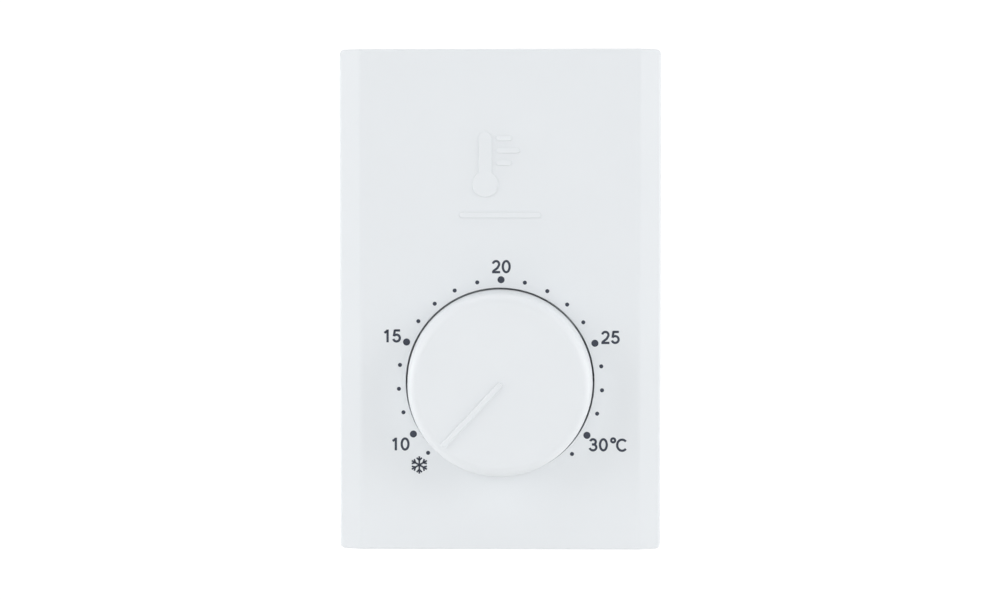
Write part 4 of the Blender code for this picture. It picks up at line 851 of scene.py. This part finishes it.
# Switch tray: a black phenolic moulding that holds the live parts away from everything else,
# screwed to two of the base plate's posts by its ears.
TRAY_EDGE = 0.2 * MM


def moulded_phenolic():
    """Phenolic: near black and faintly mottled by its wood-flour filler."""
    material, tree, place = new_material("black_moulded_phenolic", IOR=1.6)
    filler = add_node(tree, "ShaderNodeTexNoise", {
        "Vector": place, "Scale": 1 / (0.5 * MM), "Detail": 5.0, "Roughness": 0.7,
    })
    return finished(
        material, (filler.outputs["Fac"], "#241F1C", "#3A332E"),
        filler.outputs["Fac"], (0.35, 0.55), 0.15,
    )


edges_broken("switch_tray_moulding", "switch_housing", TRAY_EDGE, moulded_phenolic())
for end in ("lower", "upper"):
    slotted_screw(f"switch_screw_{end}_turned", f"switch_screw_{end}", FRONT, zinc_plate)


# Terminals: bent brass straps. Under each screw's head a square steel plate clamps the house
# wire.
TERMINAL_EDGE = 0.1 * MM
TERMINAL_THREAD_RADIUS = 1.6 * MM
TERMINAL_HEAD = 2.2 * MM
TERMINAL_PITCH = 0.7 * MM

for side in ("load", "line"):
    edges_broken(f"{side}_terminal_strap", f"{side}_terminal", TERMINAL_EDGE, brass)
    edges_broken(f"terminal_clamp_{side}_plate", f"terminal_clamp_{side}", SHEET_EDGE, zinc_plate)
    slotted_screw(
        f"terminal_screw_{side}_turned", f"terminal_screw_{side}", FRONT, zinc_plate,
        TERMINAL_THREAD_RADIUS, TERMINAL_HEAD, TERMINAL_PITCH,
    )


# Contacts: silver-faced rivets, one on the load terminal and one on the brass arm, which tilts
# in the line terminal's fork. A magnet and a small steel armature make them snap.
ARM_EDGE = 0.08 * MM
MAGNET_EDGE = 0.3 * MM
CONTACT_SHANK = 0.7 * MM
CONTACT_TAIL = 1.1 * MM
CONTACT_TAIL_LENGTH = 0.4 * MM
CONTACT_HEAD = 0.9 * MM
CONTACT_EDGE = 0.15 * MM
CONTACT_SPRING_WIRE = 0.22 * MM
CONTACT_SPRING_TURNS = 5
PLUNGER_TAPER = 0.6 * MM
PLUNGER_EDGE = 0.3 * MM


def sintered_ferrite():
    """Sintered ferrite: dark grey, matt and slightly pitted."""
    material, tree, place = new_material("sintered_ferrite", IOR=2.0)
    grit = add_node(tree, "ShaderNodeTexVoronoi", {"Vector": place, "Scale": 1 / (0.2 * MM)})
    pits = grit.outputs["Distance"]
    return finished(material, (pits, "#3B3C40", "#55565A"), pits, (0.5, 0.7), 0.25, 0.03 * MM)


def riveted_contact(name, node, way, material):
    """A domed contact on its shank, headed over behind the strap."""
    length, face_radius, behind = axis_of(node, way)
    turned(name, node, [
        (0.0, length), (face_radius * 0.7, length - 0.06 * MM), (face_radius, length - 0.3 * MM),
        (face_radius, length - CONTACT_HEAD), (CONTACT_SHANK, length - CONTACT_HEAD),
        (CONTACT_SHANK, CONTACT_TAIL_LENGTH), (CONTACT_TAIL, CONTACT_TAIL_LENGTH),
        (CONTACT_TAIL, 0.0), (0.0, 0.0),
    ], CONTACT_EDGE, behind, way, material)


contact_silver = worked_metal("silver_alloy", "#E9E7E1", "#D9D6CE", 0.22, (0.2, 0.2, 0.2))
edges_broken("contact_arm_strip", "contact_arm", ARM_EDGE, brass)
edges_broken("armature_plate", "magnet_armature", ARM_EDGE, zinc_plate)
edges_broken("magnet_block", "snap_magnet", MAGNET_EDGE, sintered_ferrite(), 3)
riveted_contact("moving_contact_rivet", "moving_contact", RIGHT, contact_silver)
riveted_contact("fixed_contact_rivet", "fixed_contact", -RIGHT, contact_silver)

spring_low, spring_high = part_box("contact_spring")
spring_middle = (spring_low + spring_high) / 2
spring_radius = (spring_high.z - spring_low.z) / 2 - CONTACT_SPRING_WIRE
spring_length = spring_high.x - spring_low.x - 2 * CONTACT_SPRING_WIRE
section = bow(spring_radius, 0.0, CONTACT_SPRING_WIRE, CONTACT_SPRING_WIRE, 0, 315, 7)
contact_coil = helix(section, CONTACT_SPRING_TURNS, spring_length / CONTACT_SPRING_TURNS, 32)
coil_start = Vector((spring_low.x + CONTACT_SPRING_WIRE, spring_middle.y, spring_middle.z))
contact_spring = new_object(
    "contact_coil_spring", placed(contact_coil, coil_start, RIGHT), spring_steel
)
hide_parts("contact_spring")
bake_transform(contact_spring)

length, plunger_radius, plunger_left = axis_of("switch_plunger", RIGHT)
turned("switch_plunger_pin", "switch_plunger", mirrored([
    (0.0, 0.0), (plunger_radius * 0.6, 0.0), (plunger_radius, PLUNGER_TAPER),
], length), PLUNGER_EDGE, plunger_left, RIGHT, natural_nylon)


# Anticipator: a small enamelled resistor with colour bands, its tinned leads bent to the two
# terminals.
RESISTOR_WAIST = 0.86  # of the radius at its two ends
RESISTOR_EDGE = 0.5 * MM
BAND_PITCH = 1.1 * MM
LEAD_RADIUS = 0.3 * MM
LEAD_BEND = 0.9 * MM


def banded_enamel(first_band_z):
    """Resistor enamel: dull green, with rings of colour about a millimetre apart."""
    material, tree, place = new_material("banded_resistor_enamel", IOR=1.5)
    height = add_node(tree, "ShaderNodeSeparateXYZ", {"Vector": place})
    colour = linear("#5E8A6B")
    for number, code in enumerate(("#6B3E1F", "#1A1A1A", "#B8322A", "#C9A24A")):
        band = add_node(tree, "ShaderNodeMath", {
            0: height.outputs["Z"], 1: first_band_z + number * BAND_PITCH, 2: BAND_PITCH / 4,
        }, operation="COMPARE")
        ring = add_node(tree, "ShaderNodeMixRGB", {
            "Fac": band.outputs["Value"], "Color1": colour, "Color2": linear(code),
        })
        colour = ring.outputs["Color"]
    skin = add_node(tree, "ShaderNodeTexNoise", {"Vector": place, "Scale": 1 / (0.8 * MM)})
    tree.links.new(colour, tree.nodes["Principled BSDF"].inputs["Base Color"])
    return finished(material, None, skin.outputs["Fac"], (0.25, 0.4), 0.2, 0.03 * MM)


length, resistor_radius, resistor_foot = axis_of("anticipator_resistor", UP)
waist = resistor_radius * RESISTOR_WAIST
turned("anticipator_resistor_body", "anticipator_resistor", mirrored([
    (0.0, 0.0), (resistor_radius * 0.7, 0.0), (resistor_radius, 0.6 * MM),
    (resistor_radius, 1.5 * MM), (waist, 2.1 * MM),
], length), RESISTOR_EDGE, resistor_foot, UP,
    banded_enamel(resistor_foot.z + (length - 3 * BAND_PITCH) / 2), 64, 5)

tinned_copper = worked_metal("tinned_copper", "#D8D6D0", "#C8C4BC", 0.28, (0.2, 0.2, 1.0))
resistor_x, resistor_y = resistor_foot.x, resistor_foot.y
line_low, line_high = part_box("resistor_lead_line")
load_low, load_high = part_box("resistor_lead_load")
line_end, line_front = line_high.x - LEAD_RADIUS, line_low.y + LEAD_RADIUS
line_z, load_z = line_low.z + LEAD_RADIUS, load_high.z - LEAD_RADIUS
load_back = load_high.y - LEAD_RADIUS
for side, line in (
    ("line", [
        (resistor_x, resistor_y, resistor_foot.z), (resistor_x, resistor_y, line_z + 0.4 * MM),
        (resistor_x, line_front, line_z), (line_end, line_front, line_z),
        (line_end, line_high.y, line_z),
    ]),
    ("load", [
        (resistor_x, resistor_y, resistor_foot.z + length), (resistor_x, resistor_y, load_z),
        (resistor_x, load_back, load_z), (load_low.x, load_back, load_z),
    ]),
):
    wire(f"resistor_lead_{side}_wire", rounded(line, LEAD_BEND, steps=6), LEAD_RADIUS,
         tinned_copper, f"resistor_lead_{side}")


# Front cover: a white ABS shell, satin from a spark-eroded mould, with a shallow slope down each
# long side, slots for the air top and bottom, and a raised plain thermometer over a bar.
COVER_BACK = 0.3 * MM
COVER_WALL = 1.9 * MM
SLOPE_WIDTH = 5.0 * MM
SLOPE_DROP = 1.7 * MM
CORNER_RADIUS = 1.2 * MM
EDGE_SHARE = 0.42  # the other edges' rounding, as a share of the corners'
EMBLEM_HEIGHT = 0.35 * MM
EMBLEM_EDGE = 0.15 * MM
EMBLEM_BULB = (-3.4 * MM, 26.4 * MM)
EMBLEM_BULB_RADIUS = 3.0 * MM
EMBLEM_STEM_RADIUS = 1.5 * MM
EMBLEM_STEM_TOP = 36.8 * MM
EMBLEM_TICK_START = -0.9 * MM
EMBLEM_TICK_LENGTHS = (3.6 * MM, 5.4 * MM, 3.6 * MM)
EMBLEM_TICK_Z = 31.2 * MM
EMBLEM_TICK_PITCH = 2.8 * MM
EMBLEM_TICK_HEIGHT = 1.2 * MM
CAPTION_BAR_Z = 19.3 * MM
CAPTION_BAR_SIZE = (18.7 * MM, 1.3 * MM)
DIAL_HOLE_RADIUS = 21.55 * MM
HOLE_EDGE = 0.1 * MM
VENT_WIDTH = 2.0 * MM
VENT_PITCH = 5.0 * MM
VENT_DEPTH = (6.0 * MM, 20.0 * MM)
VENT_END_SHARE = 0.48  # a vent's end rounding, of its width
VENTS_EACH_SIDE = 5
SCREW_SEAT_DEPTH = 10.5 * MM
SCREW_BOSS_EDGE = 0.3 * MM
SCREW_BOSS_X = 4.2 * MM
SCREW_BOSS_DEPTH = (6.9 * MM, 14.3 * MM)
SCREW_BOSS_TOP = -53.7 * MM
SCREW_HEAD_FLOOR = -55.0 * MM
COUNTERBORE_RADIUS = 3.0 * MM
COVER_NUT_EDGE = 0.25 * MM

half_x = (case_high.x - case_low.x) / 2
half_z = (case_high.z - case_low.z) / 2
cover_front = -case_low.y - EMBLEM_HEIGHT


def cover_skin():
    """The cover's outer faces, open at the back, with each edge's share of the rounding."""
    shape = box_shape((-half_x, -cover_front, -half_z), (half_x, -COVER_BACK, half_z))
    front_y = -cover_front
    long_edges = [
        edge for edge in shape.edges
        if all(abs(vert.co.y - front_y) < COVER_BACK for vert in edge.verts)
        and abs(edge.verts[0].co.z - edge.verts[1].co.z) > COVER_WALL
    ]
    ease_edges(shape, long_edges, SLOPE_WIDTH, 1)
    feet = [v for v in shape.verts if abs(v.co.y - front_y - SLOPE_WIDTH) < COVER_BACK]
    bmesh.ops.translate(shape, vec=FRONT * (SLOPE_WIDTH - SLOPE_DROP), verts=feet)
    shape.normal_update()
    back_faces = [face for face in shape.faces if face.normal.y > 0.9]
    bmesh.ops.delete(shape, geom=back_faces, context="FACES_ONLY")
    share = shape.edges.layers.float.new("bevel_weight_edge")
    for edge in shape.edges:
        run = edge.verts[1].co - edge.verts[0].co
        is_corner = abs(run.y) > SLOPE_WIDTH
        if not edge.is_boundary:
            edge[share] = 1.0 if is_corner else EDGE_SHARE
    return shape


def pill(left, right, z, height):
    """A level bar's outline, its ends half round."""
    half = height / 2
    outline = bow(left + half, z, half, half, 90, 270, 12)
    return outline + bow(right - half, z, half, half, -90, 90, 12)


def emblem_shapes():
    """A plain thermometer with three ticks, over a plain bar."""
    bulb_x, bulb_z = EMBLEM_BULB
    stem, bulb = EMBLEM_STEM_RADIUS, EMBLEM_BULB_RADIUS
    neck = math.degrees(math.asin(stem / bulb))
    outline = bow(bulb_x, EMBLEM_STEM_TOP, stem, stem, 0, 180)
    outline += bow(bulb_x, bulb_z, bulb, bulb, 90 + neck, 450 - neck, 48)
    shapes = [outline]
    for number, length in enumerate(EMBLEM_TICK_LENGTHS):
        z = EMBLEM_TICK_Z + EMBLEM_TICK_PITCH * number
        shapes.append(pill(EMBLEM_TICK_START, EMBLEM_TICK_START + length, z, EMBLEM_TICK_HEIGHT))
    width, height = CAPTION_BAR_SIZE
    shapes.append(pill(-width / 2, width / 2, CAPTION_BAR_Z, height))
    back, front = cover_front - COVER_WALL / 2, cover_front + EMBLEM_HEIGHT
    return [plate(outline, back, front, EMBLEM_EDGE) for outline in shapes]


white_abs = moulded_abs("white_moulded_abs", "#E4E7E9", "#E2E5E7", 0.42)
cover = new_object("front_cover_moulding", cover_skin(), white_abs)
shell = cover.modifiers.new("Wall", "SOLIDIFY")
shell.thickness = COVER_WALL
shell.offset = -1.0
shell.use_even_offset = True
rounding = cover.modifiers.new("Rounding", "BEVEL")
rounding.width = CORNER_RADIUS
rounding.segments = 6
rounding.limit_method = "WEIGHT"
settle(cover)

boss = box_shape(
    (-SCREW_BOSS_X, -SCREW_BOSS_DEPTH[1], COVER_WALL / 2 - half_z),
    (SCREW_BOSS_X, -SCREW_BOSS_DEPTH[0], SCREW_BOSS_TOP), SCREW_BOSS_EDGE,
)
worked(cover, [tool(boss)] + [tool(shape) for shape in emblem_shapes()], "UNION")

hole_front = cover_front - HOLE_EDGE
flare = [
    (DIAL_HOLE_RADIUS + r, hole_front + d)
    for r, d in bow(HOLE_EDGE, 0.0, HOLE_EDGE, HOLE_EDGE, 180, 90, 6)
]
dial_hole = spun(
    [(0.0, cover_front + MM), (flare[-1][0], cover_front + MM)] + flare[::-1]
    + [(DIAL_HOLE_RADIUS, cover_front - COVER_WALL - MM), (0.0, cover_front - COVER_WALL - MM)],
    dial_axis, FRONT, steps=256,
)
seat = Vector((0.0, -SCREW_SEAT_DEPTH, -half_z))
cutters = [
    dial_hole,
    rod(SCREW_THREAD_RADIUS + FIT_GAP, seat, seat + 5 * MM * UP),
    rod(COUNTERBORE_RADIUS, seat - MM * UP, (0.0, -SCREW_SEAT_DEPTH, SCREW_HEAD_FLOOR)),
]
for side in (-1, 1):
    for number in range(-VENTS_EACH_SIDE, VENTS_EACH_SIDE + 1):
        x = number * VENT_PITCH
        if side < 0 and abs(x) < SCREW_BOSS_X + VENT_PITCH:
            continue
        z_low, z_high = sorted((side * (half_z - COVER_WALL - MM), side * (half_z + MM)))
        vent = box_shape(
            (x - VENT_WIDTH / 2, -VENT_DEPTH[1], z_low),
            (x + VENT_WIDTH / 2, -VENT_DEPTH[0], z_high),
        )
        upright = [e for e in vent.edges if abs(e.verts[0].co.z - e.verts[1].co.z) > COVER_WALL]
        ease_edges(vent, upright, VENT_WIDTH * VENT_END_SHARE, 8)
        cutters.append(vent)
worked(cover, [tool(shape) for shape in cutters])
even_normals(cover)
stand_for(cover, "front_cover")

slotted_screw("cover_screw_turned", "cover_screw", -UP, zinc_plate)
edges_broken("cover_nut_square", "cover_nut", COVER_NUT_EDGE, zinc_plate)


# Printed scale: dark slate ink, pad-printed on the cover round the dial. 21 dots stand 13.5
# degrees apart, with five larger ones at the numbers, and a snowflake marks the frost setting.
SCALE_RADIUS = 23.26 * MM
DOT_COUNT = 21
DOT_STEP = 13.5  # degrees
DOT_TURN = 0.35  # degrees clockwise, as the print sits
DOT_SHIFT = (0.09 * MM, 0.11 * MM)  # right and up, as the print sits
BIG_DOTS = (1, 5, 10, 15, 19)  # counted from the snowflake's end
BIG_DOT_RADIUS = 0.81 * MM
SMALL_DOT_RADIUS = 0.465 * MM
CAP_HEIGHT = 2.92 * MM
STROKE = 0.53 * MM
ADVANCE = 0.79  # from one numeral to the next, in cap heights
INK_THICKNESS = 0.03 * MM
DEGREE_RADIUS = 0.45 * MM
SNOWFLAKE_RADIUS = 2.0 * MM
SNOWFLAKE_STROKE = 0.38 * MM
SNOWFLAKE_FORK = 0.52  # where an arm forks, as a share of the radius
SNOWFLAKE_TIP = (0.83, 0.3)  # a fork's tip, along and across its arm, as shares of the radius
NUMBERS = {  # the middle of each, from the dial's axis, in mm
    "10": (-22.87, -14.22), "15": (-24.72, 10.52), "20": (0.26, 26.35), "25": (25.19, 10.22),
    "30": (22.45, -14.33),
}
DEGREE_PLACE = (25.83, -13.31)
C_PLACE = (27.78, -14.41)
SNOWFLAKE_PLACE = (-18.47, -19.01)

# Each numeral's strokes by their middle lines, in cap heights from its middle
NUMERALS = {
    "0": [bow(0.0, 0.0, 0.265, 0.435, 0, 360)],
    "1": [
        [(0.065, -0.5), (0.065, 0.5)],
        [(0.065, 0.44), (-0.03, 0.34), (-0.185, 0.235)],
    ],
    "2": [
        bow(-0.005, 0.195, 0.24, 0.235, 172, -30)
        + [(0.10, -0.11), (-0.19, -0.33), (-0.25, -0.44)],
        [(-0.315, -0.43), (0.31, -0.43)],
    ],
    "3": [
        bow(-0.02, 0.225, 0.215, 0.21, 165, -90),
        bow(-0.02, -0.20, 0.26, 0.235, 90, -168),
        [(-0.11, 0.03), (0.0, 0.03)],
    ],
    "5": [
        [(0.255, 0.43), (-0.165, 0.43)],
        [(-0.15, 0.495), (-0.235, -0.03)],
        bow(-0.025, -0.165, 0.26, 0.265, 140, -165),
    ],
    "C": [bow(0.03, 0.0, 0.385, 0.435, 40, 320)],
}


def printing_ink():
    """Pad-printing ink: dark slate, nearly matt, a little uneven in its cover."""
    material, tree, place = new_material("slate_printing_ink", IOR=1.5)
    film = add_node(tree, "ShaderNodeTexNoise", {"Vector": place, "Scale": 1 / (0.4 * MM)})
    return finished(
        material, (film.outputs["Fac"], "#2A2F3B", "#3A4150"),
        film.outputs["Fac"], (0.5, 0.7),
    )


def ribbons(strokes, width):
    """Flat bands of one width along lines in the x-z plane."""
    curve = bpy.data.curves.new("strokes", "CURVE")
    curve.dimensions = "3D"
    curve.twist_mode = "Z_UP"
    curve.extrude = width / 2
    for stroke in strokes:
        is_closed = (Vector(stroke[0]) - Vector(stroke[-1])).length < MERGE
        points = stroke[:-1] if is_closed else stroke
        spline = curve.splines.new("POLY")
        spline.points.add(len(points) - 1)
        spline.use_cyclic_u = is_closed
        for target, (x, z) in zip(spline.points, points):
            target.co = (x, z, 0.0, 1.0)
            target.tilt = math.pi / 2
    shape = drawn_shape(curve)
    upright = Matrix.Rotation(math.pi / 2, 3, "X")
    bmesh.ops.rotate(shape, cent=(0, 0, 0), matrix=upright, verts=shape.verts)
    return shape


def numeral_strokes(text, middle):
    """A number's strokes on the cover, in metres from the dial's axis."""
    strokes = []
    for number, character in enumerate(text):
        shift = (number - (len(text) - 1) / 2) * ADVANCE * CAP_HEIGHT
        for stroke in NUMERALS[character]:
            strokes.append([
                (middle[0] * MM + shift + x * CAP_HEIGHT, middle[1] * MM + z * CAP_HEIGHT)
                for x, z in stroke
            ])
    return strokes


strokes = []
for text, middle in NUMBERS.items():
    strokes += numeral_strokes(text, middle)
strokes += numeral_strokes("C", C_PLACE)
degree_x, degree_z = (value * MM for value in DEGREE_PLACE)
strokes.append(bow(degree_x, degree_z, DEGREE_RADIUS, DEGREE_RADIUS, 0, 360))
print_shape = ribbons(strokes, STROKE)

flake = []
centre = Vector(SNOWFLAKE_PLACE) * MM
for arm in range(6):
    heading = Vector((0.0, 1.0))
    heading.rotate(Matrix.Rotation(math.radians(60 * arm), 2))
    across = Vector((-heading.y, heading.x))
    fork = centre + heading * SNOWFLAKE_RADIUS * SNOWFLAKE_FORK
    flake.append([centre, centre + heading * SNOWFLAKE_RADIUS])
    for side in (-1, 1):
        reach = heading * SNOWFLAKE_TIP[0] + across * side * SNOWFLAKE_TIP[1]
        flake.append([fork, centre + reach * SNOWFLAKE_RADIUS])
joined(print_shape, ribbons([[tuple(p) for p in line] for line in flake], SNOWFLAKE_STROKE))

flat_on_cover = Matrix.Rotation(math.pi / 2, 4, "X")
for number in range(DOT_COUNT):
    angle = math.radians((number - (DOT_COUNT - 1) / 2) * DOT_STEP + DOT_TURN)
    place = Vector((
        DOT_SHIFT[0] + SCALE_RADIUS * math.sin(angle), 0.0,
        DOT_SHIFT[1] + SCALE_RADIUS * math.cos(angle),
    ))
    bmesh.ops.create_circle(
        print_shape, cap_ends=True, segments=32,
        radius=BIG_DOT_RADIUS if number in BIG_DOTS else SMALL_DOT_RADIUS,
        matrix=Matrix.Translation(place) @ flat_on_cover,
    )
bmesh.ops.recalc_face_normals(print_shape, faces=print_shape.faces)
bmesh.ops.solidify(print_shape, geom=print_shape.faces[:], thickness=INK_THICKNESS)
bmesh.ops.translate(
    print_shape, vec=(dial_x, -cover_front - INK_THICKNESS / 2, dial_z), verts=print_shape.verts
)
printed_scale = new_object("printed_scale", print_shape, printing_ink())
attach(printed_scale, "cover")


# Knob: the same white ABS, hollow, drafted for the mould and well rounded at its rim, with a
# raised ridge as its pointer. A spring ring grips its split hub on the shaft's flat.
KNOB_ROUNDING = 2.5 * MM
KNOB_DRAFT = 0.6 * MM
KNOB_WALL = 2.0 * MM
KNOB_EDGE = 0.25 * MM
HUB_RADIUS = 5.2 * MM
HUB_BORE_END = 34.0 * MM
HUB_BORE_GAP = 0.15 * MM
POINTER_ANGLE = math.radians(-137.0)  # clockwise from straight up
POINTER_LENGTH = 18.6 * MM
POINTER_WIDTH = 1.25 * MM
POINTER_HEIGHT = 0.7 * MM
POINTER_EDGE = 0.3 * MM
POINTER_END_ROUNDING = 0.4 * MM

knob_low, knob_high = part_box("control_knob")
knob_radius = (knob_high.x - knob_low.x) / 2
knob_back = -knob_high.y
knob_front = -knob_low.y - POINTER_HEIGHT
rim_radius = knob_radius - KNOB_DRAFT
inner = rim_radius - KNOB_WALL
bore = SHAFT_RADIUS + HUB_BORE_GAP
knob_outline = [(0.0, knob_front)]
knob_outline += bow(
    rim_radius - KNOB_ROUNDING, knob_front - KNOB_ROUNDING, KNOB_ROUNDING, KNOB_ROUNDING,
    90, 0, 14,
)
knob_outline += [(knob_radius, cover_front)]
ceiling = knob_front - KNOB_WALL
knob_outline += rounded([
    (knob_radius, knob_back), (inner, knob_back), (inner, ceiling - KNOB_ROUNDING / 2),
    (inner - KNOB_ROUNDING / 2, ceiling), (HUB_RADIUS, ceiling), (HUB_RADIUS, knob_back),
    (bore, knob_back), (bore, HUB_BORE_END),
], KNOB_EDGE) + [(0.0, HUB_BORE_END)]
knob = new_object(
    "control_knob_moulding", spun(knob_outline, dial_axis, FRONT, steps=256), white_abs
)
heading = Vector((math.sin(POINTER_ANGLE), math.cos(POINTER_ANGLE)))
half_width = POINTER_WIDTH / 2
beside = Vector((-heading.y, heading.x)) * half_width
inner_end = Vector((dial_x, dial_z)) - heading * half_width
tip = Vector((dial_x, dial_z)) + heading * POINTER_LENGTH
ridge_corners = (inner_end - beside, tip - beside, tip + beside, inner_end + beside)
ridge_outline = rounded(ridge_corners, POINTER_END_ROUNDING, closed=True)
ridge = plate(
    ridge_outline, knob_front - KNOB_WALL / 2, knob_front + POINTER_HEIGHT, POINTER_EDGE, 5
)
hub_flat = box_shape(
    (dial_x + SHAFT_FLAT + 0.2 * MM, -HUB_BORE_END - 0.5 * MM, dial_z - SHAFT_RADIUS),
    (dial_x + (bore + HUB_RADIUS) / 2, -SHAFT_FLAT_START - 0.3 * MM, dial_z + SHAFT_RADIUS),
)
worked(knob, [tool(ridge), tool(hub_flat)], "UNION")
even_normals(knob)
stand_for(knob, "control_knob")

length, clamp_radius, clamp_back = axis_of("hub_clamp_ring", FRONT)
clamp_ring = collar(
    clamp_radius, HUB_RADIUS + RUNNING_GAP, length, TURNED_EDGE, clamp_back, FRONT, 96
)
stand_for(new_object("hub_spring_ring", clamp_ring, spring_steel), "hub_clamp_ring")


bpy.context.view_layer.update()
